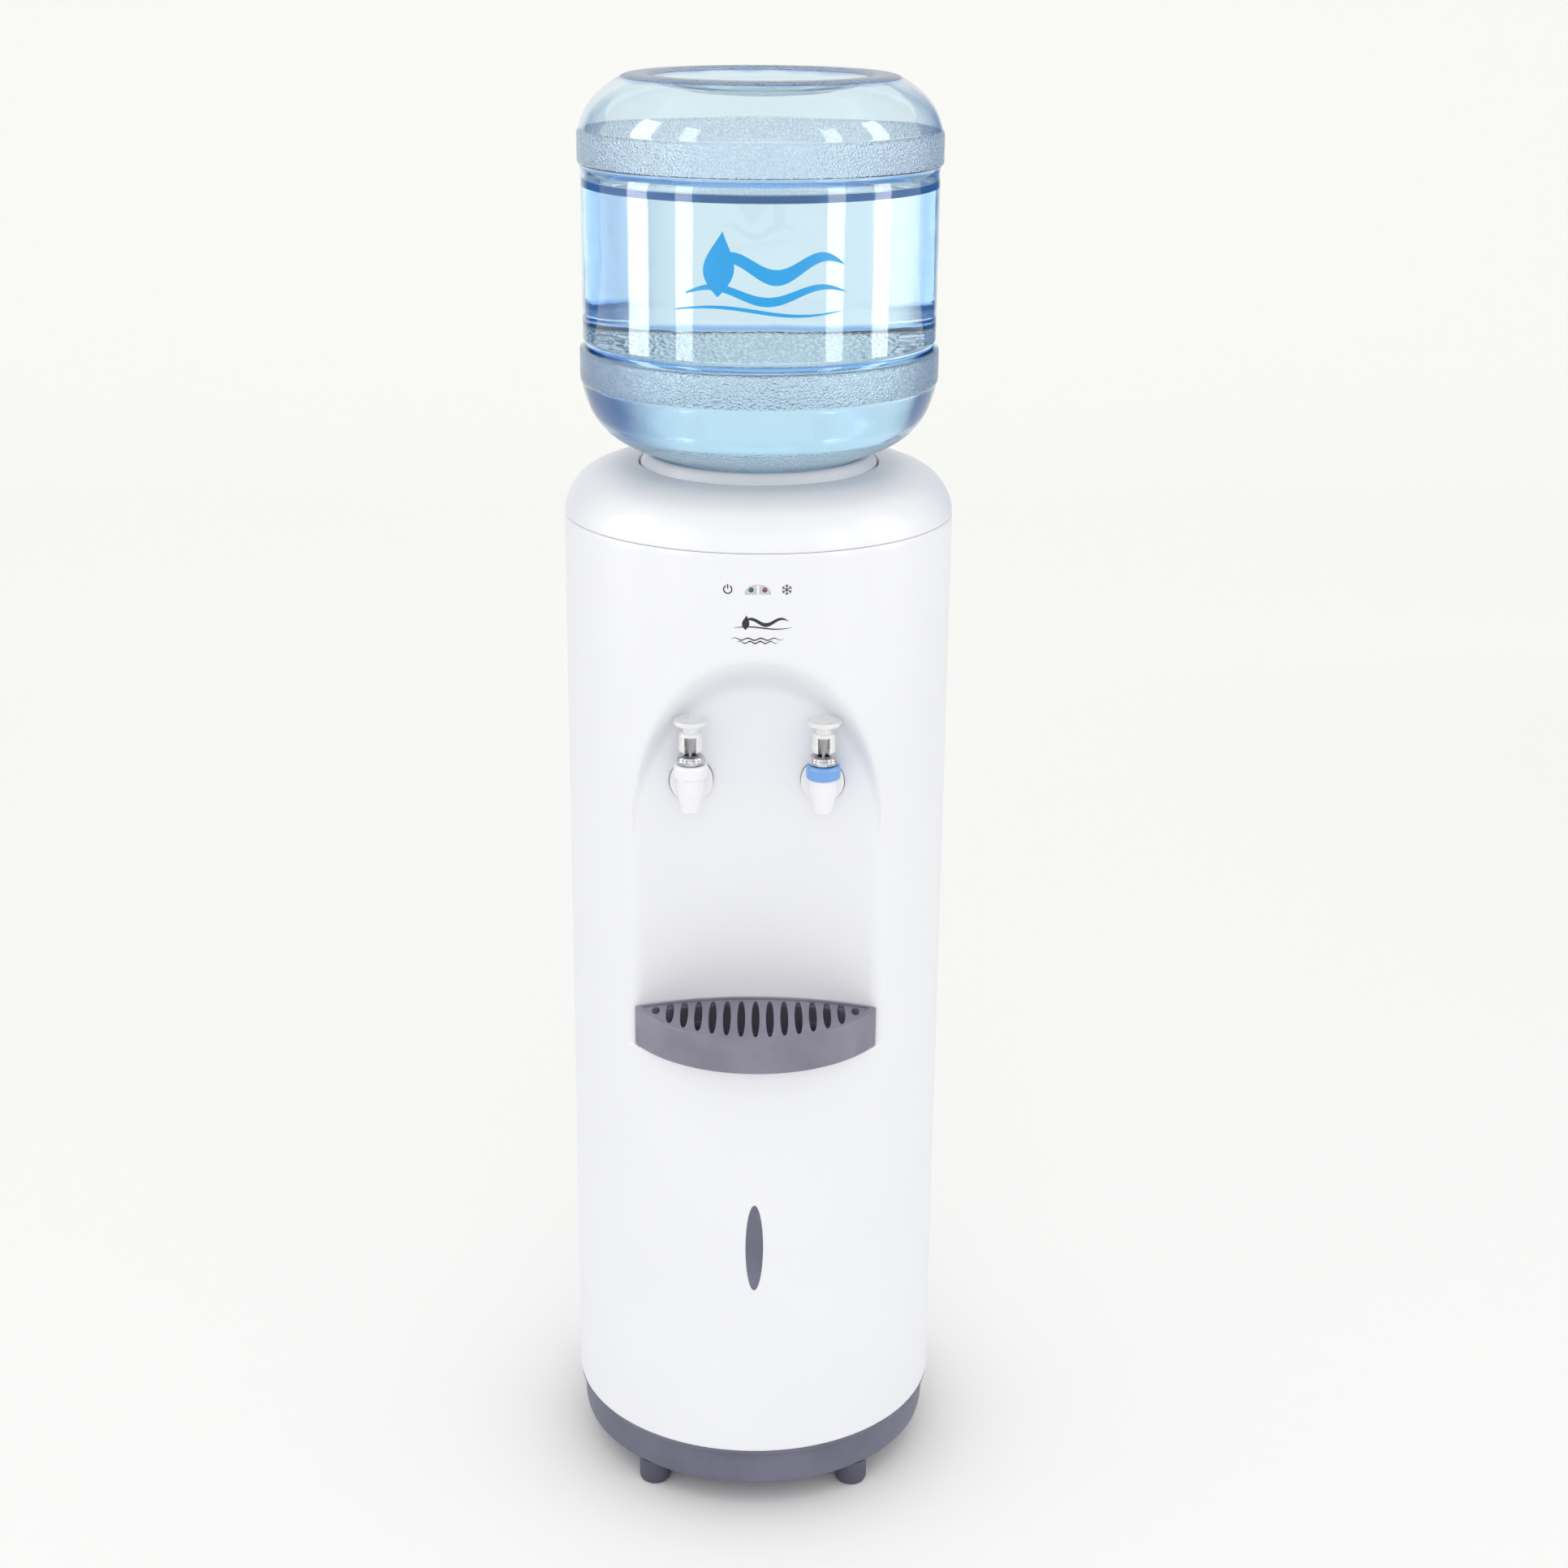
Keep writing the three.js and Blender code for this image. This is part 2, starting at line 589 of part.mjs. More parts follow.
// Outside of the upturned bottle, from the neck's mouth up to the middle of its base, above the seam.
const bottleProfile = lift(
  [
    [bottle.neck, -28], [bottle.neck, 12], [44, 24], [80, 45], [105.5, 55.6], [121, 68], [131, 84],
    [135.2, 100], [bottle.band, 130], [bottle.radius, 134.5], [bottle.radius, 250], [bottle.band, 263],
    [134.8, 288], [127, 303], [109, 321], [95, 329], [82, 329], [60, 318], [0, 316],
  ],
  seamZ,
);

function bottleShell() {
  const inner = bottleProfile.map(([r, z], i) => {
    const last = bottleProfile.length - 1;
    if (i === 0) return [bottle.neck - 3, z];
    if (i === last) return [0, z - bottle.wall];
    const [r0, z0] = bottleProfile[i - 1];
    const [r1, z1] = bottleProfile[i + 1];
    const along = Math.hypot(r1 - r0, z1 - z0);
    const thick = i < 2 ? 3 : bottle.wall;
    return [r - (thick * (z1 - z0)) / along, z + (thick * (r1 - r0)) / along];
  });
  return turned([...bottleProfile, ...inner.reverse(), bottleProfile[0]], 24);
}

part("bottle", bottleShell(), clearBlue);
part(
  "bottle_cap",
  turned(
    [[10.5, seamZ - 31], [29.4, seamZ - 31], [30, seamZ - 29], [30, seamZ - 8],
      [bottle.neck + gap, seamZ - 8], [bottle.neck + gap, seamZ - 28 - gap], [10.5, seamZ - 28 - gap],
      [10.5, seamZ - 31]],
    28,
  ),
  capBlue,
);

// The seat follows the bottle's shoulder down to a well for its neck.
part(
  "bottle_seat",
  turned(
    lift(
      [[91.4, 37.5], [90.6, 38.6], [86.2, 45], [84.6, 45.6], [82.8, 44.4], [62, 33], [43, 22.6], [33.4, 14],
        [33.4, -36], [8.2, -36], [8.2, -39], [36, -39], [36, 11.6], [45, 19.6], [64, 30], [80, 39], [84, 35],
        [84, 24], [91.4, 24], [91.4, 37.5]],
      seamZ,
    ),
    24,
  ),
  whitePlastic,
);

function feedProbe() {
  const tube = pipe(8, 5, seamZ - 46, seamZ + 12, 16);
  const tip = turned([[0, seamZ + 24], [8, seamZ + 11.5], [8, seamZ + 6], [0, seamZ + 6]], 16);
  const flange = pipe(13, 5, seamZ - 36 + gap, seamZ - 33, 16);
  const windows = [
    box(-10, 10, -2.5, 2.5, seamZ - 6, seamZ + 4),
    box(-2.5, 2.5, -10, 10, seamZ - 6, seamZ + 4),
  ];
  return cut(join(tube, tip, flange), ...windows);
}
part("feed_probe", feedProbe(), milky);

// ---- cooling and plumbing inside ----
const outlets = [[-30, -30], [30, -30], [20, 34]]; // room tap, cold tap, drain

function coldTank() {
  const [r, t, z0, z1] = [tank.radius, tank.wall, tank.bottom, tank.top];
  const cup = turned(
    [[0, z0], [r, z0], [r, z1 - 2], [r + 8, z1 - 2], [r + 8, z1], [r - t, z1], [r - t, z0 + t], [0, z0 + t]],
    28,
  );
  const spigots = outlets.map(([x, y]) => rod(4.2, z0 - tank.foam - 8, z0 + 1, 12).translate(x, y, 0));
  const bores = outlets.map(([x, y]) => rod(2.8, z0 - tank.foam - 10, z0 + 4, 10).translate(x, y, 0));
  return cut(join(cup, ...spigots), ...bores);
}

const jacket = tank.radius + tank.foam;
const block = { half: 20, z: tank.bottom + 90 };

function foamJacket() {
  const [z0, z1] = [tank.bottom - tank.foam, tank.top - 2 - gap];
  const clear = block.half + gap;
  return cut(
    rod(jacket, z0, z1, 28),
    rod(tank.radius + gap, tank.bottom - gap, z1 + 1, 28),
    box(-clear, clear, 30, jacket + 5, block.z - clear, block.z + clear),
    ...outlets.map(([x, y]) => rod(4.2 + gap, z0 - 1, tank.bottom + 1, 12).translate(x, y, 0)),
  );
}

part("cold_tank", coldTank(), steel);
part("foam_jacket", foamJacket(), foamWhite);
part(
  "tank_lid",
  cut(
    rod(tank.radius + 7, tank.top + gap, tank.top + 3, 28),
    rod(36 + gap, tank.top, tank.top + 10, 28),
  ),
  whitePlastic,
);
part(
  "baffle_plate",
  cut(
    rod(tank.radius - tank.wall - 1, tank.bottom + 118, tank.bottom + 120, 28),
    rod(8, tank.bottom + 110, tank.bottom + 130, 16),
  ),
  milky,
);

const shelfZ = tank.bottom - tank.foam - gap;
function tankShelf() {
  const plate = common(
    rod(cabinet.radius - wall * 2 - 1, shelfZ - 3, shelfZ, round),
    box(-reach, reach, -60, back - 16, shelfZ - 5, shelfZ + 5),
  );
  return cut(plate, ...outlets.map(([x, y]) => rod(6, shelfZ - 6, shelfZ + 6, 12).translate(x, y, 0)));
}
part("tank_shelf", tankShelf(), steel);

const hoseR = 4.5;
for (const [side, name] of [[-1, "room"], [1, "cold"]]) {
  const end = tank.bottom - tank.foam - 8 - gap;
  const [sx, sy] = outlets[side < 0 ? 0 : 1];
  const x = side * tap.spread;
  const route = [
    [x, tap.shankEnd + gap, tap.shankZ],
    [x, tap.shankEnd + 3, tap.shankZ],
    [x, -76, tap.shankZ - 6],
    [x, -72.5, tap.shankZ - 22],
    [side * 48, -69.5, shelfZ - 6],
    [side * 42, -57, shelfZ - 24],
    [side * 35, -42, shelfZ - 30],
    [sx, sy, end - 10],
    [sx, sy, end],
  ];
  part(`${name}_water_hose`, hose(route, hoseR, 22), milky);
}
part(
  "drain_hose",
  hose(
    [
      [20, 34, tank.bottom - tank.foam - 8 - gap],
      [20, 34, tank.bottom - tank.foam - 40],
      [24, 60, tank.bottom - 130],
      [30, 84, drain.z + 120],
      [30, 92, drain.z + 40],
      [drain.x, 98, drain.z + 10],
      [drain.x, 108, drain.z],
      [drain.x, back - 22 - gap, drain.z],
    ],
    hoseR,
    34,
  ),
  milky,
);

// A threaded spout through the rear cover, with the cap that closes it.
part(
  "drain_spout",
  cut(
    join(
      alongY(rod(8, back - 20, back + 9, 20)),
      alongY(rod(10.4, back - wall - 2 - 2 * gap, back - wall - gap, 20)),
    ),
    alongY(rod(4.2, back - 30, back + 20, 12)),
  ).translate(drain.x, 0, drain.z),
  whitePlastic,
);
part(
  "drain_cap",
  alongY(
    turned(
      [[0, rearReach], [11, rearReach], [12, rearReach - 1], [12, back + 1], [8 + gap, back + 1],
        [8 + gap, back + 9 + gap], [0, back + 9 + gap]].reverse(),
      18,
    ),
  ).translate(drain.x, 0, drain.z),
  whitePlastic,
);

// Thermoelectric cooler: cold block on the tank, module, finned heat sink and fan in line behind it.
const blockBack = jacket + 4;
const curvedSeat = rod(tank.radius + gap, block.z - 40, block.z + 40, 28);
part(
  "cold_block",
  cut(box(-block.half, block.half, 45, blockBack, block.z - block.half, block.z + block.half), curvedSeat),
  aluminium,
);
const moduleBack = blockBack + gap + 4;
part("peltier_module", box(-20, 20, blockBack + gap, moduleBack, block.z - 20, block.z + 20), ceramic);
const sink = { y0: moduleBack + gap, y1: moduleBack + gap + 24, halfX: 44, halfZ: 44, fins: 11 };
function heatSink() {
  const base = box(-sink.halfX, sink.halfX, sink.y0, sink.y0 + 5, block.z - sink.halfZ, block.z + sink.halfZ);
  const pitch = (2 * sink.halfX - 2) / (sink.fins - 1);
  const fins = Array.from({ length: sink.fins }, (_, i) => {
    const x = -sink.halfX + pitch * i;
    return box(x, x + 2, sink.y0 + 4, sink.y1, block.z - sink.halfZ, block.z + sink.halfZ);
  });
  return join(base, ...fins);
}
part("heat_sink", heatSink(), aluminium);

const fan = { half: 40, y0: sink.y1 + gap, depth: 15, bore: 37.5, hub: 14 };
const fanY = fan.y0 + fan.depth;
function fanFrame() {
  const z = block.z;
  const frame = cut(
    box(-fan.half, fan.half, fan.y0, fanY, z - fan.half, z + fan.half),
    alongY(rod(fan.bore, fan.y0 - 1, fanY + 1, 32)).translate(0, 0, z),
  );
  const mount = alongY(rod(fan.hub, fanY - 2.5, fanY, 16)).translate(0, 0, z);
  const struts = [0, 1, 2].map((i) =>
    box(-2, 2, fanY - 2.5, fanY, 0, fan.bore + 1).rotateY((2 * Math.PI * i) / 3 + 0.5).translate(0, 0, z),
  );
  const axle = alongY(rod(1.6, fan.y0 + 3, fanY - 1, 8)).translate(0, 0, z);
  return join(frame, mount, ...struts, axle);
}
part("fan_frame", fanFrame(), blackPlastic);

function fanRotor() {
  const [y0, y1] = [fan.y0 + 1, fanY - 3.2];
  const hub = alongY(rod(fan.hub - 0.5, y0, y1, 18));
  const blades = Array.from({ length: 7 }, (_, i) =>
    box(-0.8, 0.8, -6.4, 6.4, fan.hub - 3, fan.bore - 2)
      .rotateZ(0.75)
      .rotateY((2 * Math.PI * i) / 7)
      .translate(0, (y0 + y1) / 2, 0),
  );
  const trimmed = common(join(hub, ...blades), alongY(rod(fan.bore - 1.2, y0, y1, 32)));
  return cut(trimmed, alongY(rod(1.6 + gap, y0 - 1, y1 + 1, 8))).translate(0, 0, block.z);
}
part("fan_rotor", fanRotor(), blackPlastic);

// ---- power ----
function powerBoard() {
  const z = floorZ + 3;
  const board = box(-45, 45, 20, 90, z + 8, z + 9.6);
  const parts = [
    box(-38, -8, 28, 56, z + 9, z + 34),
    box(4, 22, 30, 50, z + 9, z + 22),
    box(-30, 10, 64, 70, z + 9, z + 30),
    rod(6, z + 9, z + 29, 12).translate(32, 40, 0),
    rod(4, z + 9, z + 21, 12).translate(30, 60, 0),
    box(24, 42, 76, 86, z + 9, z + 18),
  ];
  const corners = [[-40, 25], [40, 25], [-40, 85], [40, 85]];
  const posts = corners.map(([x, y]) => rod(3, z + gap, z + 9, 8).translate(x, y, 0));
  return join(board, ...parts, ...posts);
}
part("power_board", powerBoard(), boardGreen);

function mainsInlet() {
  const { x, z } = inlet;
  const housing = box(x - 15.6, x + 15.6, back - 24, back, z - 11.6, z + 11.6);
  const lip = box(x - 19, x + 19, back + gap, back + 2.4, z - 15, z + 15);
  const core = box(x - 15.6, x + 15.6, back - 2, back + 1, z - 11.6, z + 11.6);
  const cavity = extruded(
    [
      [-12, -8], [12, -8], [12, 3.6], [7.6, 8], [-7.6, 8], [-12, 3.6],
    ].map(([u, v]) => new THREE.Vector2(u, v)),
    back - 18,
    back + 6,
  );
  const pins = [[-7, -2], [0, 2], [7, -2]].map(([u, v]) =>
    box(x + u - 1, x + u + 1, back - 20, back - 6, z + v - 2, z + v + 2),
  );
  const socket = cut(join(housing, lip, core), alongYUp(cavity).translate(x, 0, z));
  return join(socket, ...pins);
}
// An XY outline stood up in XZ, its depth along Y.
function alongYUp(geometry) {
  return geometry.rotateX(-Math.PI / 2).rotateY(Math.PI);
}
part("mains_inlet", mainsInlet(), blackPlastic);

function switchHousing() {
  const { x, z } = rocker;
  const housing = box(x - 10.6, x + 10.6, back - 14, back, z - 7.6, z + 7.6);
  const lip = box(x - 13, x + 13, back + gap, back + 2, z - 9.6, z + 9.6);
  const core = box(x - 10.6, x + 10.6, back - 1, back + 1, z - 7.6, z + 7.6);
  const well = box(x - 9, x + 9, back - 9, back + 5, z - 6.2, z + 6.2);
  return cut(join(housing, lip, core), well);
}
part("switch_housing", switchHousing(), blackPlastic);

const rockTilt = (9 * Math.PI) / 180;
function switchRocker() {
  const outline = [[-7.8, -1], [-7.8, 2.6], [0, 1.2], [7.8, 2.6], [7.8, -1], [3, -4.6], [-3, -4.6]];
  const bar = extruded(outline.map(([u, v]) => new THREE.Vector2(u, v)), -5.6, 5.6);
  return bar.rotateZ(rockTilt).translate(rocker.x, back - 0.4, rocker.z);
}
part("switch_rocker", switchRocker(), blackPlastic);

export default dispenser;
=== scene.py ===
import math
import bpy
from mathutils import Matrix, Vector


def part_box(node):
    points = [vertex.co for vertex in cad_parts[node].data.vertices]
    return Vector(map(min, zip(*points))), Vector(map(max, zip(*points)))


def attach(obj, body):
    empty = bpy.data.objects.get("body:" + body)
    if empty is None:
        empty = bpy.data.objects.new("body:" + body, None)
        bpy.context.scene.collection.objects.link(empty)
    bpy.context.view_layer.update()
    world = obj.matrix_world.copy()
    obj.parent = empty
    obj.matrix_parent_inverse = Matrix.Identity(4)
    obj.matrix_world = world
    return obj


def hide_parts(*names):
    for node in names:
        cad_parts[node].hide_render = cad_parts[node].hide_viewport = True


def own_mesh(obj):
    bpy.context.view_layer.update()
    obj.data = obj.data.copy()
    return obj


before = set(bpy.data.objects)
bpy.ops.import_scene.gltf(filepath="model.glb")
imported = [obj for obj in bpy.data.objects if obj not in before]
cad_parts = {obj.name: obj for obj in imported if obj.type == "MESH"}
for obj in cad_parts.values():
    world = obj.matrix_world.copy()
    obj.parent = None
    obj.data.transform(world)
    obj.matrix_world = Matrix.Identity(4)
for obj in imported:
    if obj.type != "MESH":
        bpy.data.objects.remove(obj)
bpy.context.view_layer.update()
print("frame loaded:", len(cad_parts), "nodes")

mm = 0.001
coverLow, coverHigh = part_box("front_cover")
bottleLow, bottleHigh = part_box("bottle")
axisY = (bottleLow.y + bottleHigh.y) / 2 / mm  # the cabinet's upright axis
bodyZ = coverLow.z / mm
seamZ = coverHigh.z / mm
radius = coverHigh.x / mm
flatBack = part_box("rear_cover")[1].y / mm - axisY


class Wire:
    def __init__(self, sheet, socket):
        self.sheet = sheet
        self.socket = socket

    def __add__(self, other):
        return self.sheet.maths("ADD", self, other)

    def __radd__(self, other):
        return self.sheet.maths("ADD", other, self)

    def __sub__(self, other):
        return self.sheet.maths("SUBTRACT", self, other)

    def __rsub__(self, other):
        return self.sheet.maths("SUBTRACT", other, self)

    def __mul__(self, other):
        return self.sheet.maths("MULTIPLY", self, other)

    def __rmul__(self, other):
        return self.sheet.maths("MULTIPLY", other, self)


class Sheet:
    def __init__(self, name):
        self.material = bpy.data.materials.new(name)
        self.material.use_nodes = True
        self.tree = self.material.node_tree
        self.tree.nodes.clear()

    def node(self, kind, settings=None, sockets=None, out=0):
        made = self.tree.nodes.new("ShaderNode" + kind)
        for key, value in (settings or {}).items():
            setattr(made, key, value)
        for key, value in (sockets or {}).items():
            if isinstance(value, Wire):
                self.tree.links.new(value.socket, made.inputs[key])
            else:
                made.inputs[key].default_value = value
        return Wire(self, made.outputs[out])

    def maths(self, operation, a, b=0.0):
        return self.node("Math", {"operation": operation}, {0: a, 1: b})

    def place(self, scale=(1, 1, 1)):
        return self.node("Mapping", None, {"Vector": self.node("TexCoord", out=3), "Scale": scale})

    def noise(self, scale, detail=2.0, rough=0.5, where=None):
        sockets = {"Scale": scale, "Detail": detail, "Roughness": rough, "Vector": where or self.place()}
        return self.node("TexNoise", None, sockets)

    def cells(self, scale):
        return self.node("TexVoronoi", None, {"Scale": scale, "Vector": self.place()})

    def between(self, value, low, high, to0=0.0, to1=1.0):
        sockets = {"Value": value, "From Min": low, "From Max": high, "To Min": to0, "To Max": to1}
        return self.node("MapRange", {"clamp": True, "interpolation_type": "SMOOTHSTEP"}, sockets)

    def blend(self, share, a, b):
        sockets = {"Factor": share, 6: a, 7: b}
        return self.node("Mix", {"data_type": "RGBA"}, sockets, out=2)

    def bump(self, height, depth):
        return self.node("Bump", None, {"Height": height, "Distance": depth})

    def axes(self):
        split = self.node("SeparateXYZ", None, {"Vector": self.node("TexCoord", out=3)}).socket.node
        return [Wire(self, out) for out in split.outputs]

    def show(self, surface):
        end = self.tree.nodes.new("ShaderNodeOutputMaterial")
        self.tree.links.new(surface.socket, end.inputs["Surface"])
        return self.material

    def shade(self, **sockets):
        names = {key.replace("_", " "): value for key, value in sockets.items()}
        return self.show(self.node("BsdfPrincipled", None, names))


print("materials")


def glossyShell(name, colour, rough=0.16, ripple=0.00004):
    s = Sheet(name)
    cloud = s.noise(9, 3)
    peel = s.noise(260, 2, 0.6)
    warm = tuple(c * 0.985 for c in colour[:3]) + (1,)
    tint = s.blend(s.between(cloud, 0.3, 0.7), colour, warm)
    return s.shade(
        Base_Color=tint, Roughness=rough + 0.08 * cloud, Coat_Weight=0.2, Coat_Roughness=0.28,
        IOR=1.5, Normal=s.bump(peel, ripple))


def grainedShell(name, colour, rough=0.42, grain=1500, depth=0.00007):
    s = Sheet(name)
    fine = s.cells(grain)
    cloud = s.noise(22, 4)
    rub = s.noise(140, 3, 0.65)
    light = tuple(min(1, c * 1.12 + 0.01) for c in colour[:3]) + (1,)
    dark = tuple(c * 0.9 for c in colour[:3]) + (1,)
    tint = s.blend(s.between(cloud, 0.3, 0.7), dark, light)
    return s.shade(
        Base_Color=s.blend(s.between(fine, 0.25, 0.8) * 0.25, tint, dark),
        Roughness=rough + 0.12 * rub, IOR=1.5, Normal=s.bump(fine + 0.4 * rub, depth))


def brushedMetal(name, colour, rough=0.28, along=(1, 1, 0.02), scale=900):
    s = Sheet(name)
    lines = s.noise(scale, 3, 0.6, s.place(along))
    smudge = s.noise(40, 3)
    dark = tuple(c * 0.82 for c in colour[:3]) + (1,)
    return s.shade(
        Base_Color=s.blend(s.between(lines, 0.3, 0.75), dark, colour), Metallic=1.0,
        Roughness=rough + 0.16 * smudge, Normal=s.bump(lines, 0.00002))


def polishedMetal(name, colour):
    s = Sheet(name)
    smudge = s.noise(120, 3)
    return s.shade(
        Base_Color=s.blend(s.between(smudge, 0.45, 0.6), colour, (0.7, 0.71, 0.74, 1)), Metallic=1.0,
        Roughness=0.05 + 0.1 * smudge, Normal=s.bump(s.noise(700, 2), 0.000008))


def milkyPlastic(name, colour, through=0.35):
    s = Sheet(name)
    swirl = s.noise(60, 3)
    pale = tuple(min(1, c * 1.04) for c in colour[:3]) + (1,)
    return s.shade(
        Base_Color=s.blend(s.between(swirl, 0.35, 0.7), colour, pale), Roughness=0.22 + 0.1 * swirl,
        Transmission_Weight=through, IOR=1.46, Normal=s.bump(s.noise(500, 2), 0.00003))


def beadedFoam(name):
    s = Sheet(name)
    beads = s.cells(260)
    return s.shade(
        Base_Color=s.blend(s.between(beads, 0.2, 0.7), (0.92, 0.92, 0.9, 1), (0.7, 0.71, 0.7, 1)),
        Roughness=0.85 + 0.1 * beads, Normal=s.bump(1 - beads, 0.0006))


def circuitBoard(name):
    s = Sheet(name)
    tracks = s.node("TexBrick", None, {"Vector": s.place(), "Scale": 90.0, "Mortar Size": 0.03}, out=1)
    pads = s.between(s.cells(240), 0.12, 0.16, 1, 0)
    base = s.blend(tracks, (0.02, 0.19, 0.09, 1), (0.05, 0.32, 0.16, 1))
    return s.shade(
        Base_Color=s.blend(pads, base, (0.75, 0.74, 0.7, 1)), Roughness=0.4 + 0.1 * pads, Metallic=pads * 0.8,
        Normal=s.bump(tracks + pads, 0.00006))


def softRubber(name, colour):
    s = Sheet(name)
    dust = s.noise(180, 4, 0.6)
    dark = tuple(c * 0.86 for c in colour[:3]) + (1,)
    return s.shade(Base_Color=s.blend(dust, dark, colour), Roughness=0.55 + 0.25 * dust,
                   Normal=s.bump(s.noise(900, 2), 0.00004))


def lampLens(name, colour, glow):
    s = Sheet(name)
    facets = s.cells(1400)
    deep = tuple(c * 0.5 for c in colour[:3]) + (1,)
    return s.shade(
        Base_Color=s.blend(s.between(facets, 0.1, 0.6), colour, deep), Roughness=0.12 + 0.1 * facets,
        Emission_Color=colour, Emission_Strength=glow, Coat_Weight=0.6, Normal=s.bump(facets, 0.00006))


def printedInk(name, colour):
    s = Sheet(name)
    fleck = s.noise(2600, 2)
    soft = tuple(min(1, c * 1.15 + 0.01) for c in colour[:3]) + (1,)
    return s.shade(Base_Color=s.blend(s.between(fleck, 0.4, 0.7), colour, soft), Roughness=0.3 + 0.15 * fleck,
                   Normal=s.bump(fleck, 0.00001))


# The low tint is a painted reflection: a deeper blue on the bottle's lower part.
bottleLook = {
    "clear": (0.86, 0.95, 0.995, 1), "deep": (0.83, 0.92, 1, 1), "frost": (0.68, 0.84, 1, 1),
    "ring": (0.42, 0.57, 0.84, 1), "neck": (0.12, 0.36, 0.82, 1), "low": (0.74, 0.9, 0.99, 1),
    "rib": (0.34, 0.58, 0.93, 1), "rough": 0.02, "pebbles": 560, "pebbleDepth": 0.0006,
    "bands": [(seamZ + 101, seamZ + 127), (seamZ + 262.5, seamZ + 287)], "shoulderTop": seamZ + 66,
    "baseTexture": seamZ + 323.1, "neckTop": seamZ + 36, "paintedReflectionSpan": (seamZ + 70, seamZ + 140),
    "ribs": (seamZ + 129.5, seamZ + 258.5), "ribHalf": 3.4,
}


def blownPlastic(name):
    look = bottleLook
    s = Sheet(name)
    z = s.axes()[2]
    pebbled = s.between(z, look["shoulderTop"] * mm, (look["shoulderTop"] + 1.5) * mm, 1, 0)
    for low, high in look["bands"]:
        start = s.between(z, low * mm, (low + 1.5) * mm)
        pebbled = pebbled + start * s.between(z, (high - 1.5) * mm, high * mm, 1, 0)
    pebbled = s.maths("MINIMUM", pebbled + s.between(z, look["baseTexture"] * mm,
                                                      (look["baseTexture"] + 0.8) * mm), 1.0)
    pebbles = s.cells(look["pebbles"])
    swell = s.noise(26, 2)
    ring = s.between(z + 0.006 * (swell - 0.5), (look["baseTexture"] - 2) * mm, look["baseTexture"] * mm)
    warp = s.noise(14, 2)
    height = pebbled * pebbles + 0.2 * warp
    tint = s.blend(pebbled * s.between(pebbles, 0.25, 0.6), look["clear"], look["deep"])
    for middle in look["ribs"]:
        near = s.between(s.maths("ABSOLUTE", z - middle * mm + 0.003 * (swell - 0.5)), 0.001,
                         look["ribHalf"] * mm, 1, 0)
        tint = s.blend(near, tint, look["rib"])
    tint = s.blend(ring, tint, look["ring"])
    # painted reflection: the lower part turns a deeper blue, standing in for the internal reflections seen
    # there
    tint = s.blend(s.between(z, *[edge * mm for edge in look["paintedReflectionSpan"]], 1, 0), tint, look["low"])
    tint = s.blend(s.between(z, (look["neckTop"] - 5) * mm, look["neckTop"] * mm, 1, 0), tint, look["neck"])
    clear = s.node("BsdfPrincipled", None, {
        "Base Color": tint, "Roughness": look["rough"] + 0.1 * pebbled, "Transmission Weight": 1.0,
        "IOR": 1.4, "Normal": s.bump(height, look["pebbleDepth"])})
    frost = s.node("BsdfPrincipled", None, {"Base Color": look["frost"], "Roughness": 0.4, "IOR": 1.4})
    share = pebbled * (1 - ring) * s.between(pebbles, 0.3, 0.6, 0.03, 0.24)
    return s.show(s.node("MixShader", None, {0: share, 1: clear, 2: frost}))


def clearWater(name):
    s = Sheet(name)
    drift = s.noise(7, 2)
    tint = s.blend(drift, (0.89, 0.96, 0.995, 1), (0.92, 0.97, 1, 1))
    return s.shade(Base_Color=tint, Roughness=0.01 * drift, Transmission_Weight=1.0, IOR=1.33,
                   Normal=s.bump(s.noise(18, 2), 0.0006))


white = glossyShell("whiteGloss", (0.865, 0.87, 0.91, 1), 0.36)
whiteTap = glossyShell("whiteTap", (0.9, 0.9, 0.93, 1), 0.2)
trayGrey = grainedShell("trayGrey", (0.215, 0.205, 0.27, 1), 0.4)
baseGrey = grainedShell("baseGrey", (0.135, 0.133, 0.195, 1), 0.42)
footGrey = grainedShell("footGrey", (0.075, 0.072, 0.115, 1), 0.45)
black = grainedShell("blackPlastic", (0.02, 0.02, 0.023, 1), 0.45)
# near-black: painted shade, used for the sheet inside the drip tray
paintedShadeBlack = grainedShell("shadowBlack", (0.006, 0.006, 0.008, 1), 0.6)
ringBlue = glossyShell("ringBlue", (0.17, 0.38, 0.78, 1), 0.34)
capBlue = grainedShell("capBlue", (0.04, 0.17, 0.6, 1), 0.35, 1100)
steel = brushedMetal("brushedSteel", (0.74, 0.75, 0.77, 1))
tangSteel = brushedMetal("tangSteel", (0.43, 0.43, 0.45, 1), 0.3)
aluminium = brushedMetal("aluminium", (0.82, 0.83, 0.85, 1), 0.35, (1, 1, 0.05), 700)
chrome = polishedMetal("chrome", (0.44, 0.44, 0.47, 1))
milky = milkyPlastic("milkyPlastic", (0.93, 0.95, 0.97, 1))
clearMilky = milkyPlastic("clearLever", (0.985, 0.99, 1, 1), 0.22)
foam = beadedFoam("beadedFoam")
board = circuitBoard("circuitBoard")
hoseRubber = softRubber("hoseRubber", (0.85, 0.87, 0.89, 1))
sealRubber = softRubber("sealRubber", (0.7, 0.72, 0.74, 1))
ceramic = softRubber("ceramicWhite", (0.88, 0.88, 0.85, 1))
greenLens = lampLens("greenLens", (0.02, 0.14, 0.11, 1), 0.05)
redLens = lampLens("redLens", (0.24, 0.07, 0.1, 1), 0.1)
inkBlack = printedInk("inkBlack", (0.015, 0.015, 0.02, 1))
inkBlue = printedInk("inkBlue", (0.004, 0.32, 0.72, 1))
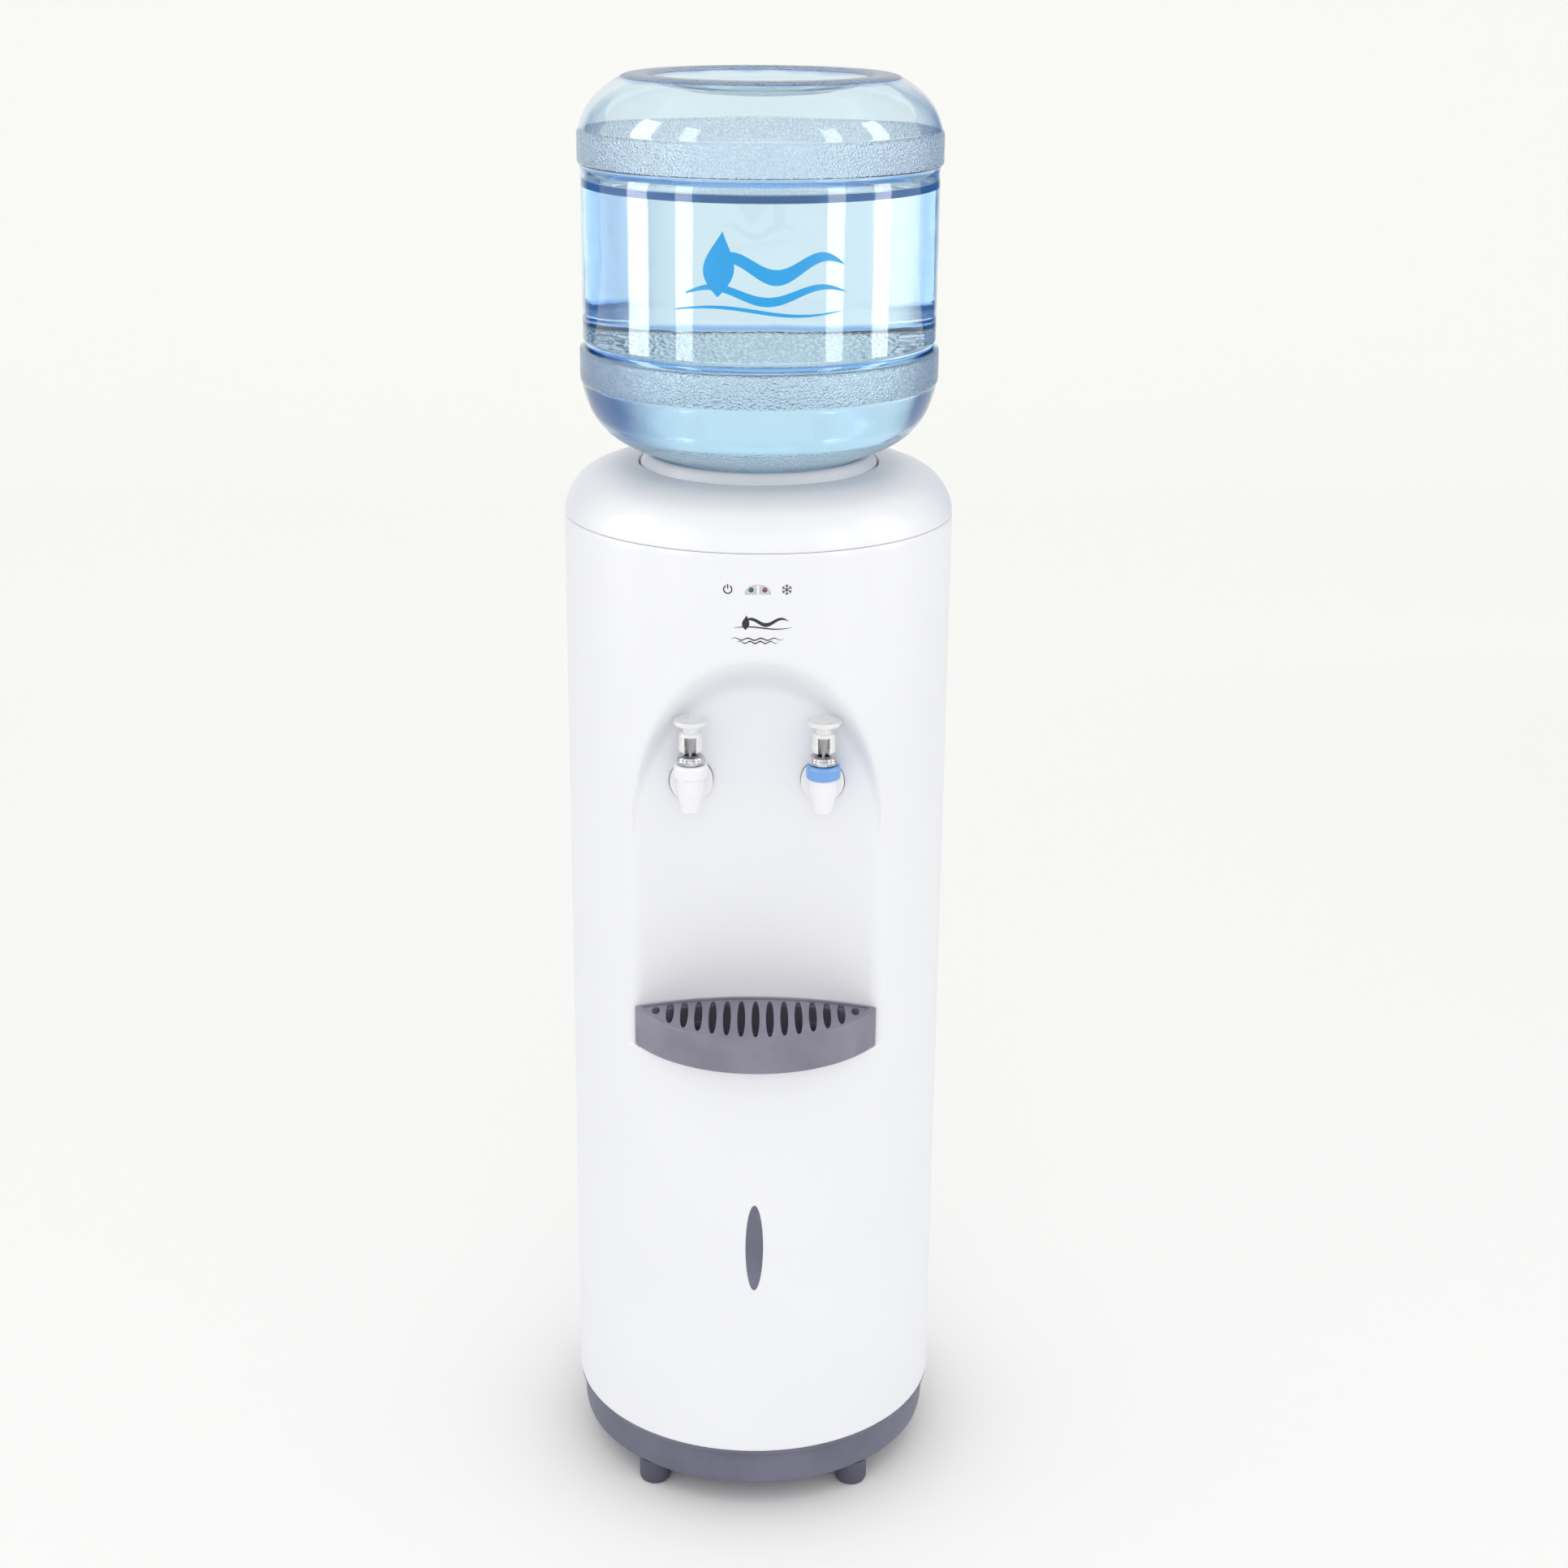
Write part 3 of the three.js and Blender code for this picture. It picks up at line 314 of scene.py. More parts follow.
bottleClear = blownPlastic("blownBottle")
# dark blue: painted reflection for the ring at the water line
paintedWaterLine = glossyShell("paintedWaterLine", (0.03, 0.2, 0.55, 1), 0.2)
water = clearWater("clearWater")


def deselect():
    if bpy.context.object and bpy.context.object.mode != "OBJECT":
        bpy.ops.object.mode_set(mode="OBJECT")
    bpy.ops.object.select_all(action="DESELECT")


def activate(piece):
    deselect()
    piece.select_set(True)
    bpy.context.view_layer.objects.active = piece


def editAll(piece, *steps):
    activate(piece)
    bpy.ops.object.mode_set(mode="EDIT")
    bpy.ops.mesh.select_all(action="SELECT")
    for step in steps:
        step()
    bpy.ops.object.mode_set(mode="OBJECT")


def facesOut():
    bpy.ops.mesh.remove_doubles(threshold=0.000004)
    bpy.ops.mesh.normals_make_consistent(inside=False)


def modify(piece, kind, **settings):
    activate(piece)
    changed = piece.modifiers.new(kind.lower(), kind)
    for key, value in settings.items():
        setattr(changed, key, value)
    bpy.ops.object.modifier_apply(modifier=changed.name)
    return piece


def bevel(piece, width, segments=2, angle=32):
    return modify(piece, "BEVEL", width=width * mm, segments=segments, limit_method="ANGLE",
                  angle_limit=math.radians(angle), use_clamp_overlap=True)


def smooth(piece, angle=32):
    activate(piece)
    bpy.ops.object.shade_smooth_by_angle(angle=math.radians(angle))
    return piece


def settle(piece):
    activate(piece)
    bpy.ops.object.transform_apply(location=True, rotation=True, scale=True)
    return piece


def meshPiece(name, points, edges=(), faces=()):
    shape = bpy.data.meshes.new(name)
    shape.from_pydata([tuple(c * mm for c in p) for p in points], list(edges), list(faces))
    made = bpy.data.objects.new(name, shape)
    bpy.context.scene.collection.objects.link(made)
    return made


# Corner points are (across, up, rounding); a rounding softens that corner.
def softened(corners, closed=False, steps=4):
    out = []
    count = len(corners)
    for i, corner in enumerate(corners):
        r = corner[2] if len(corner) > 2 else 0
        ends = not closed and i in (0, count - 1)
        if r == 0 or ends:
            out.append(corner[:2])
            continue
        here = corner[:2]
        sides = []
        for other in (corners[i - 1], corners[(i + 1) % count]):
            far = math.dist(here, other[:2])
            reach = min(r, far * 0.45) / far
            sides.append([h + (o - h) * reach for h, o in zip(here, other[:2])])
        for k in range(steps + 1):
            t = k / steps
            out.append(tuple((1 - t) ** 2 * a + 2 * t * (1 - t) * h + t ** 2 * b
                             for a, h, b in zip(sides[0], here, sides[1])))
    return out


def spun(name, corners, steps=96, centre=(0, None), closed=False):
    line = softened(corners, closed)
    points = [(max(a, 0), 0, z) for a, z in line]
    edges = [(i, i + 1) for i in range(len(line) - 1)]
    if closed:
        edges.append((len(line) - 1, 0))
    made = meshPiece(name, points, edges)
    editAll(made, lambda: bpy.ops.mesh.spin(steps=steps, angle=2 * math.pi, center=(0, 0, 0), axis=(0, 0, 1)),
            facesOut)
    made.location = (centre[0] * mm, (axisY if centre[1] is None else centre[1]) * mm, 0)
    return settle(made)


# A closed body through rings of equally many points; the first and last rings are filled.
def lofted(name, rings):
    n = len(rings[0])
    faces = []
    for k in range(len(rings) - 1):
        for i in range(n):
            a, b = k * n + i, k * n + (i + 1) % n
            faces.append((a, b, b + n, a + n))
    faces += [tuple(range(n)), tuple(range((len(rings) - 1) * n, len(rings) * n))]
    made = meshPiece(name, [p for ring in rings for p in ring], (), faces)
    editAll(made, facesOut)
    return made


# A flat outline pushed along a direction into a solid.
def pushed(name, outline, direction):
    made = meshPiece(name, outline, (), [tuple(range(len(outline)))])
    editAll(made, lambda: bpy.ops.mesh.extrude_region_move(
        TRANSFORM_OT_translate={"value": tuple(c * mm for c in direction)}),
        lambda: bpy.ops.mesh.select_all(action="SELECT"), facesOut)
    return made


def block(name, x0, x1, y0, y1, z0, z1):
    deselect()
    middle = ((x0 + x1) / 2 * mm, (y0 + y1) / 2 * mm, (z0 + z1) / 2 * mm)
    bpy.ops.mesh.primitive_cube_add(size=1, location=middle)
    made = bpy.context.object
    made.name = name
    made.scale = ((x1 - x0) * mm, (y1 - y0) * mm, (z1 - z0) * mm)
    return settle(made)


def rodAlong(name, axis, r, start, end, at, sides=48):
    deselect()
    turn = {"x": (0, math.pi / 2, 0), "y": (math.pi / 2, 0, 0), "z": (0, 0, 0)}[axis]
    middle = list(at)
    middle["xyz".index(axis)] = (start + end) / 2
    bpy.ops.mesh.primitive_cylinder_add(vertices=sides, radius=r * mm, depth=abs(end - start) * mm,
                                        location=[c * mm for c in middle], rotation=turn)
    made = bpy.context.object
    made.name = name
    return settle(made)


def merged(name, *pieces):
    deselect()
    for one in pieces:
        one.select_set(True)
    bpy.context.view_layer.objects.active = pieces[0]
    if len(pieces) > 1:
        bpy.ops.object.join()
    pieces[0].name = name
    return pieces[0]


def cutBy(piece, *cutters, operation="DIFFERENCE"):
    for cutter in cutters:
        modify(piece, "BOOLEAN", object=cutter, operation=operation, solver="EXACT", use_self=True)
        bpy.data.objects.remove(cutter)
    return piece


def bisect(piece, at, normal):
    editAll(piece, lambda: bpy.ops.mesh.bisect(plane_co=[c * mm for c in at], plane_no=normal,
                                               use_fill=True, clear_outer=True),
            lambda: bpy.ops.mesh.select_all(action="SELECT"), facesOut)
    return piece


def finished(piece, body, nodes, slotName, look):
    piece.data.materials.clear()
    piece.data.materials.append(look)
    if nodes:
        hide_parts(*nodes)
    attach(piece, body)
    return piece


def refined(name, node, body, slotName, look, width=0.4):
    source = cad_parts[node]
    made = bpy.data.objects.new(name, source.data.copy())
    bpy.context.scene.collection.objects.link(made)
    editAll(made, lambda: bpy.ops.mesh.remove_doubles(threshold=0.00001),
            lambda: bpy.ops.mesh.dissolve_limited(angle_limit=math.radians(2)))
    bevel(made, width, 2, 35)
    smooth(made)
    return finished(made, body, [node], slotName, look)


scoop = {
    "radius": 260, "depth": 52, "half": 94, "spring": seamZ - 195, "top": seamZ - 73,
    "bottom": bodyZ + 348.7, "ramp": 50, "soft": 9,
}
edgeRound = 1.4


def wallBehind(x):
    return -(radius - scoop["depth"]) - scoop["radius"] + math.sqrt(scoop["radius"] ** 2 - x * x)


def softMax(a, b, k):
    near = max(0, 1 - abs(a - b) / k)
    return max(a, b) + near * near * k / 4


# How far back the front face lies at a place on the drum; the scoop eases in below its arch.
def frontFace(x, y, z):
    if abs(x) > scoop["half"] + 10 or not scoop["bottom"] < z < scoop["top"]:
        return y
    side = min(1, abs(x) / scoop["half"])
    arch = scoop["spring"] + (scoop["top"] - scoop["spring"]) * math.sqrt(1 - side * side)
    t = max(0, min(1, (arch - z) / scoop["ramp"]))
    share = t * t * t * (t * (6 * t - 15) + 10) * min(1, z - scoop["bottom"])
    return y + (softMax(y, wallBehind(x), scoop["soft"]) - y) * share


def stretch(start, end, step):
    count = max(1, round((end - start) / step))
    return [start + (end - start) * i / count for i in range(count)]


def edgeDraw(z):
    near = min(z - bodyZ, seamZ - z)
    return 0.8 * (1 - min(1, near / edgeRound)) ** 2


def gridPiece(name, columns, rows, place, wall=2.4):
    deselect()
    bpy.ops.mesh.primitive_grid_add(x_subdivisions=len(columns) - 1, y_subdivisions=len(rows) - 1, size=1)
    made = bpy.context.object
    made.name = name
    for v in made.data.vertices:
        i = round((v.co.x + 0.5) * (len(columns) - 1))
        j = round((v.co.y + 0.5) * (len(rows) - 1))
        v.co = [c * mm for c in place(columns[i], rows[j])]
    modify(made, "SOLIDIFY", thickness=wall * mm, offset=-1)
    return made


def edgeRows(*middle):
    ends = [0, 0.3, 0.8, edgeRound]
    return [bodyZ + e for e in ends] + list(middle) + [seamZ - e for e in reversed(ends)]


def frontCover():
    degrees = stretch(-90, -42, 4) + stretch(-42, 42, 0.75) + stretch(42, 90, 4) + [90]
    heights = edgeRows(*stretch(bodyZ + 5, 402, 14), *stretch(402, 405.5, 0.5), *stretch(405.5, 734, 1.7),
                       *stretch(734, seamZ - 5, 9), seamZ - 5)

    def place(angle, z):
        t = math.radians(angle)
        r = radius - edgeDraw(z)
        x, y = r * math.sin(t), -r * math.cos(t)
        back = frontFace(x, y, z)
        # the halves meet in a fine rounded seam
        pinch = 0.8 * max(0, (abs(angle) - 89.4) / 0.6) ** 2
        return x * (1 - pinch / radius), back + axisY - (0.15 if abs(angle) == 90 else 0), z

    made = gridPiece("frontCover", degrees, heights, place)
    smooth(made, 50)
    return finished(made, "cabinet", ["front_cover"], "white", white)


louvres = {"count": 5, "first": 205, "pitch": 14, "tall": 6, "half": 40}


def rearCover():
    corner = math.degrees(math.acos(flatBack / radius))
    degrees = [90, 90.5] + stretch(92, 180 - corner, 2) + [180 - corner]
    degrees += stretch(180 - corner, 180 + corner, 2)[1:] + [180 + corner]
    degrees += stretch(180 + corner, 268, 2)[1:] + [268, 269.5, 270]
    heights = edgeRows(*stretch(bodyZ + 5, seamZ - 5, 50), seamZ - 5)

    def place(angle, z):
        t = math.radians(angle)
        r = radius - edgeDraw(z)
        x, y = r * math.sin(t), -r * math.cos(t)
        flat = flatBack - edgeDraw(z)
        if y > flat:
            x, y = x * flat / y, flat
        pinch = 0.8 if angle in (90, 270) else 0
        return x * (1 - pinch / radius), y + axisY + (0.15 if angle in (90, 270) else 0), z

    made = gridPiece("rearCover", degrees, heights, place)
    holes = []
    y0, y1 = axisY + flatBack - 8, axisY + flatBack + 5
    for node, clear in (("rear_vent_grille", -3.7), ("mains_inlet", -3.1), ("switch_housing", -2.1)):
        low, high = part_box(node)
        holes.append(block("hole", low.x / mm - clear, high.x / mm + clear, y0, y1,
                           low.z / mm - clear, high.z / mm + clear))
    spout = [(a + b) / 2 / mm for a, b in zip(*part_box("drain_spout"))]
    holes.append(rodAlong("hole", "y", 8.4, y0, y1, spout, 32))
    for name in ("rear_screw_1", "rear_screw_2"):
        spot = [(a + b) / 2 / mm for a, b in zip(*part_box(name))]
        holes.append(rodAlong("hole", "y", 2.1, y0, y1, spot, 16))
    for i in range(louvres["count"]):
        z = bodyZ + louvres["first"] + louvres["pitch"] * i
        holes.append(block("hole", -louvres["half"], louvres["half"], y0, y1, z, z + louvres["tall"]))
    cutBy(made, *holes)
    smooth(made, 30)
    return finished(made, "cabinet", ["rear_cover"], "white", white)


lid = {"wall": 2.5, "opening": 92, "gap": 0.3}


def topCover():
    base = seamZ + lid["gap"]

    def crown(inset):
        return [(radius - inset - 0.7, base), (radius - inset, base + 0.9, 0.6),
                (149.4 - inset, seamZ + 5, 4), (147.6 - inset, seamZ + 12, 6),
                (143 - inset, seamZ + 20 - inset * 0.3, 8),
                (134.4 - inset, seamZ + 29.4 - inset * 0.8, 10), (115, seamZ + 36.6 - inset, 14),
                (lid["opening"], seamZ + 38 - inset)]
    body = spun("topCover", [(0, base)] + crown(0) + [(0, seamZ + 38)], 160)
    bisect(body, (0, axisY + flatBack, 0), (0, 1, 0))
    hollow = spun("hollow", [(0, base - 3), (radius - lid["wall"], base - 3)] + crown(lid["wall"])[1:]
                  + [(0, seamZ + 38 - lid["wall"])], 96)
    bisect(hollow, (0, axisY + flatBack - lid["wall"], 0), (0, 1, 0))
    well = spun("well", [(0, seamZ), (lid["opening"], seamZ), (lid["opening"], seamZ + 36.4, 1.5),
                         (lid["opening"] + 2, seamZ + 39), (0, seamZ + 39)], 128)
    cutBy(body, hollow, well)
    smooth(body, 32)
    return finished(body, "cabinet", ["top_cover"], "white", white)


def bottleSeat():
    z = seamZ
    made = spun("bottleSeat", [
        (91.2, z + 24), (91.2, z + 37.6, 1.5), (90.2, z + 38.9, 1), (87.4, z + 43.6, 2), (86, z + 45, 1.2),
        (84.2, z + 45.4, 0.8), (82.6, z + 44.2, 1.5), (62, z + 33, 6), (43, z + 22.6, 4), (33.4, z + 14, 4),
        (33.4, z - 36, 1.5), (8.2, z - 36), (8.2, z - 39), (36, z - 39, 2), (36, z + 11.6, 3),
        (45, z + 19.6, 4), (64, z + 30, 6), (80, z + 38, 2), (84, z + 35, 1), (84, z + 24)], 128, closed=True)
    smooth(made)
    return finished(made, "cabinet", ["bottle_seat"], "white", white)


skirt = {"foot": 144.5, "top": 146, "rim": 149.6}


def basePan():
    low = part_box("base_pan")[0].z / mm
    high = bodyZ - 0.3
    made = spun("basePan", [
        (0, low), (skirt["foot"], low, 2), (skirt["top"], low + 6, 6), (skirt["top"], high - 3.6, 0.8),
        (skirt["rim"] - 0.6, high - 3.4, 0.6), (skirt["rim"], high - 2.4, 0.6),
        (skirt["rim"] - 0.3, high, 0.5), (142.6, high, 0.6), (142.6, low + 3), (0, low + 3)], 160)
    bisect(made, (0, axisY + flatBack - 0.6, 0), (0, 1, 0))
    smooth(made)
    return finished(made, "cabinet", ["base_pan"], "grey", baseGrey)


def foot(name, node):
    low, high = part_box(node)
    centre = [(a + b) / 2 / mm for a, b in zip(low, high)]
    r = (high.x - low.x) / 2 / mm
    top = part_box("base_pan")[0].z / mm - 0.3
    made = spun(name, [(0, 0), (r - 3, 0, 0.6), (r - 1.4, 0.4, 1), (r, 3, 1.4), (r, top - 4),
                       (r - 0.6, top, 0.8), (4, top), (4, high.z / mm, 0.6), (0, high.z / mm)], 48, centre)
    smooth(made)
    return finished(made, "cabinet", [node], "grey", footGrey)


print("cabinet")
frontCover()
rearCover()
topCover()
bottleSeat()
basePan()
for side in ("front_left", "front_right", "rear_left", "rear_right"):
    foot("foot." + side, "foot_" + side)


def onDrum(u, v, proud):
    t = u / radius
    return ((radius + proud) * math.sin(t), -(radius + proud) * math.cos(t) + axisY, v)


# A ribbon between two edges, each a list of (across, up), laid on a drum and given a thickness.
def ribbon(name, left, right, place, thick=0.15, across=6):
    points = []
    for (u0, v0), (u1, v1) in zip(left, right):
        points += [place(u0 + (u1 - u0) * k / across, v0 + (v1 - v0) * k / across) for k in range(across + 1)]
    n = across + 1
    faces = [(i * n + k, i * n + k + 1, (i + 1) * n + k + 1, (i + 1) * n + k)
             for i in range(len(left) - 1) for k in range(across)]
    made = meshPiece(name, points, (), faces)
    editAll(made, facesOut)
    modify(made, "SOLIDIFY", thickness=thick * mm, offset=0)
    return made


def arcRibbon(name, place, centre, r, wide, start, end, steps=24):
    inner, outer = [], []
    for i in range(steps + 1):
        t = math.radians(start + (end - start) * i / steps)
        for edge, rr in ((inner, r - wide / 2), (outer, r + wide / 2)):
            edge.append((centre[0] + rr * math.cos(t), centre[1] + rr * math.sin(t)))
    return ribbon(name, inner, outer, place)


def barRibbon(name, place, a, b, wide, steps=4):
    dx, dy = b[0] - a[0], b[1] - a[1]
    far = math.hypot(dx, dy)
    nx, ny = -dy / far * wide / 2, dx / far * wide / 2
    left = [(a[0] + dx * i / steps + nx, a[1] + dy * i / steps + ny) for i in range(steps + 1)]
    right = [(a[0] + dx * i / steps - nx, a[1] + dy * i / steps - ny) for i in range(steps + 1)]
    return ribbon(name, left, right, place)


# A wave that swells in its middle and thins to its ends.
def waveRibbon(name, place, centre, length, lift, thick, turns, steps=48):
    top, low = [], []
    for i in range(steps + 1):
        t = i / steps
        u = centre[0] + length * (t - 0.5)
        v = centre[1] + lift * math.sin(2 * math.pi * turns * t)
        half = thick / 2 * math.sin(math.pi * min(1, t + 0.02)) ** 0.7 + 0.05
        top.append((u, v + half))
        low.append((u, v - half))
    return ribbon(name, top, low, place)


def dropRibbon(name, place, centre, height, steps=24):
    left, right = [], []
    for i in range(steps + 1):
        t = i / steps
        half = height * 0.33 * math.sin(math.pi * t) * (1 - t * 0.62) ** 0.9 + 0.03
        v = centre[1] + height * (t - 0.5)
        lean = height * 0.08 * t * t
        left.append((centre[0] - half + lean, v))
        right.append((centre[0] + half + lean, v))
    return ribbon(name, left, right, place)


def ovalTrim():
    low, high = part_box("oval_trim")
    mid = (low.z + high.z) / 2 / mm
    rx, rz = (high.x - low.x) / 2 / mm, (high.z - low.z) / 2 / mm
    rings = []
    for share, proud in ((1, -1), (1, 0.05), (0.93, 0.4), (0.8, 0.5), (0.5, 0.55), (0.15, 0.56)):
        ring = []
        for i in range(72):
            t = 2 * math.pi * i / 72
            x = rx * share * math.cos(t)
            y = -math.sqrt(radius ** 2 - x * x) - proud + axisY
            ring.append((x, y, mid + (rz - rx * (1 - share)) * math.sin(t)))
        rings.append(ring)
    made = smooth(lofted("ovalTrim", rings))
    return finished(made, "cabinet", ["oval_trim"], "grey", baseGrey)


def indicator():
    low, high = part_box("indicator_bezel")
    half = (high.x - low.x) / 2 / mm
    z0, z1 = low.z / mm, high.z / mm
    outline = [(half, z0)]
    outline += [(half * math.cos(t), z0 + 1.6 + (z1 - z0 - 1.6) * math.sin(t))
                for t in [math.pi * i / 28 for i in range(29)]]
    outline.append((-half, z0))
    mid = (z0 + z1) / 2
    rings = []
    for share, proud in ((1, -3), (1, 0.05), (0.97, 0.3), (0.93, 0.4)):
        rings.append([(x * share, -math.sqrt(radius ** 2 - x * x) - proud + axisY, mid + (z - mid) * share)
                      for x, z in outline])
    made = lofted("indicatorWindow", rings)
    for node in ("power_lamp", "cold_lamp"):
        a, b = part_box(node)
        spot = [(p + q) / 2 / mm for p, q in zip(a, b)]
        cutBy(made, rodAlong("hole", "y", 2.6, spot[1] - 12, spot[1] + 12, spot, 32))
    smooth(made)
    finished(made, "cabinet", ["indicator_bezel"], "milky", lampWindow)
    rib = ribbon("windowRib", [(-1, z0 + 0.4), (-1, z1 - 0.3)], [(1, z0 + 0.4), (1, z1 - 0.3)],
                 lambda u, v: onDrum(u, v, 0.5), 0.4)
    finished(rib, "cabinet", [], "white", white)
    frontY = -radius + axisY
    for node, look, slotName in (("power_lamp", greenLens, "green_lens"), ("cold_lamp", redLens, "red_lens")):
        a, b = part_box(node)
        x, z = (a.x + b.x) / 2 / mm, (a.z + b.z) / 2 / mm
        lens = spun("lens." + node, [(0, -1.2), (0.9, -1.1), (1.7, -0.7), (2.2, 0.1), (2.3, 0.9), (2.3, 9),
                                     (0, 9)], 32, (0, 0))
        activate(lens)
        lens.rotation_euler = (-math.pi / 2, 0, 0)
        lens.location = (x * mm, (frontY + 0.2) * mm, z * mm)
        settle(lens)
        smooth(lens, 40)
        finished(lens, "cabinet", [node], slotName, look)


marks = {"proud": 0.08, "power": -22, "cold": 21, "arm": 3.9, "branch": 1.5}


def panelMarks():
    place = lambda u, v: onDrum(u, v, marks["proud"])
    left, right, arm = marks["power"], marks["cold"], marks["arm"]
    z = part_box("indicator_bezel")[0].z / mm + 3.6
    power = [arcRibbon("mark", place, (left, z), 3, 0.9, -240, 60),
             barRibbon("mark", place, (left, z + 0.5), (left, z + 3.9), 0.9)]
    finished(merged("markPower", *power), "cabinet", [], "black", inkBlack)
    flake = []
    for k in range(3):
        t = math.radians(30 + 60 * k)
        dx, dy = arm * math.cos(t), arm * math.sin(t)
        flake.append(barRibbon("mark", place, (right - dx, z - dy), (right + dx, z + dy), 0.6))
        for side in (-1, 1):
            for turn in (-0.9, 0.9):
                bx, by = right + side * dx * 0.6, z + side * dy * 0.6
                ex = bx + side * marks["branch"] * math.cos(t + turn)
                ey = by + side * marks["branch"] * math.sin(t + turn)
                flake.append(barRibbon("mark", place, (bx, by), (ex, ey), 0.5, 1))
    finished(merged("markCold", *flake), "cabinet", [], "black", inkBlack)
    crest = [dropRibbon("mark", place, (-9, z - 24.6), 11),
             waveRibbon("mark", place, (6, z - 24), 34, 2.2, 2.8, 1.5),
             waveRibbon("mark", place, (4, z - 28.6), 42, 0.9, 0.9, 1)]
    finished(merged("markPanel", *crest), "cabinet", [], "black", inkBlack)
    under = [waveRibbon("mark", place, (0, z - 37 - 2.4 * k), 38 - 8 * k, 0.8, 0.9, 4) for k in range(2)]
    finished(merged("markPanelLines", *under), "cabinet", [], "black", inkBlack)


lampWindow = milkyPlastic("lampWindow", (0.72, 0.73, 0.75, 1), 0.3)
print("trim and marks")
ovalTrim()
indicator()
panelMarks()


tray = {"tipY": -117.6, "half": 94, "wall": 2.5, "ledge": 3, "draft": 10}
trayLow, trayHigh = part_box("drip_tray")
grilleLow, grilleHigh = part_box("drip_grille")
trayReach = axisY - trayLow.y / mm
trayBottom, trayTop = trayLow.z / mm, trayHigh.z / mm
ledgeZ = grilleLow.z / mm - 0.3


def lens(z, inset, reach, steps=56):
    backY = -(radius - scoop["depth"]) - 0.3 - inset
    frontY = -reach + inset
    half = tray["half"] - inset * 2.2
    ring = []
    for sag, start, end in ((frontY - tray["tipY"], -1, 1), (backY - tray["tipY"], 1, -1)):
        r = (half * half + sag * sag) / (2 * abs(sag))
        turn = math.asin(half / r)
        for i in range(steps):
            t = turn * (start + (end - start) * i / steps)
            y = tray["tipY"] + math.copysign(1, sag) * (r * math.cos(t) - r * math.cos(turn))
            ring.append((r * math.sin(t), y + axisY, z))
    return ring


def dripTray():
    full, low = trayReach, trayReach - tray["draft"]
    wall, deep = tray["wall"], tray["wall"] + tray["ledge"]
    rings = [lens(trayBottom, 2, low), lens(trayBottom + 0.5, 0.6, low), lens(trayBottom + 1.6, 0, low + 0.4),
             lens(trayTop - 3, 0, full - 0.9), lens(trayTop - 0.8, 0, full - 0.2),
             lens(trayTop - 0.2, 0.3, full), lens(trayTop, 0.8, full),
             lens(trayTop, wall - 0.5, full), lens(trayTop - 0.4, wall, full),
             lens(ledgeZ, wall, full), lens(ledgeZ, deep - 0.5, full), lens(ledgeZ - 0.6, deep, full),
             lens(trayBottom + 4, deep, low + 1), lens(trayBottom + 2.5, deep + 1.6, low)]
    made = lofted("dripTray", rings)
    tabs = [block("tab", x - 6, x + 6, -112 + axisY, -88 + axisY, trayBottom + 14, trayBottom + 17)
            for x in (-42, 42)]
    made = merged("dripTray", made, *tabs)
    smooth(made, 34)
    return finished(made, "tray_body", ["drip_tray"], "tray_grey", trayGrey)


slots = {
    "count": 15, "pitch": 11.1, "reach": 84, "least": 5.4, "longer": 28.4, "swell": 1.35, "endFrom": 70,
    "endShare": 0.22, "wide": 3.1, "middle": -137.8, "bow": 15, "bowReach": 78,
}


def grilleSlot(i):
    x = slots["pitch"] * (i - (slots["count"] - 1) / 2)
    share = math.sqrt(max(0, 1 - (x / slots["reach"]) ** 2))
    half = slots["least"] + slots["longer"] * share ** slots["swell"] * (
        slots["endShare"] if abs(x) > slots["endFrom"] else 1)
    mid = slots["middle"] + slots["bow"] * (x / slots["bowReach"]) ** 2 + axisY
    points = []
    for k in range(28):
        t = 2 * math.pi * k / 28
        c, s = math.cos(t), math.sin(t)
        points.append((x + slots["wide"] * math.copysign(abs(c) ** 0.8, c),
                       mid + half * math.copysign(abs(s) ** 1.05, s), ledgeZ - 4))
    return pushed("slot", points, (0, 0, 16))


def dripGrille():
    z0, z1 = grilleLow.z / mm, grilleHigh.z / mm
    w = tray["wall"] + 0.3
    rings = [lens(z0, w, trayReach), lens(z1 - 0.5, w, trayReach), lens(z1 - 0.1, w + 0.2, trayReach),
             lens(z1, w + 0.6, trayReach)]
    made = lofted("dripGrille", rings)
    cutBy(made, merged("slots", *[grilleSlot(i) for i in range(slots["count"])]))
    bevel(made, 0.3, 2, 40)
    smooth(made)
    return finished(made, "grille_body", ["drip_grille"], "tray_grey", trayGrey)


# A near-black sheet inside the tray: painted shade for the tray's inside, seen through the slots.
def trayShadeSheet():
    deep = tray["wall"] + tray["ledge"] + 0.5
    z0 = trayBottom + 3
    reach = trayReach - tray["draft"]
    rings = [lens(z0, deep + 1.2, reach), lens(z0 + 1, deep + 1, reach)]
    made = smooth(lofted("trayShadeSheet", rings))
    return finished(made, "tray_body", [], "black", paintedShadeBlack)


print("drip tray")
dripTray()
dripGrille()
trayShadeSheet()


taps = {"nozzle": 24, "shank": 9, "disc": 13.6, "wire": 0.6, "turns": 5, "steps": 24}


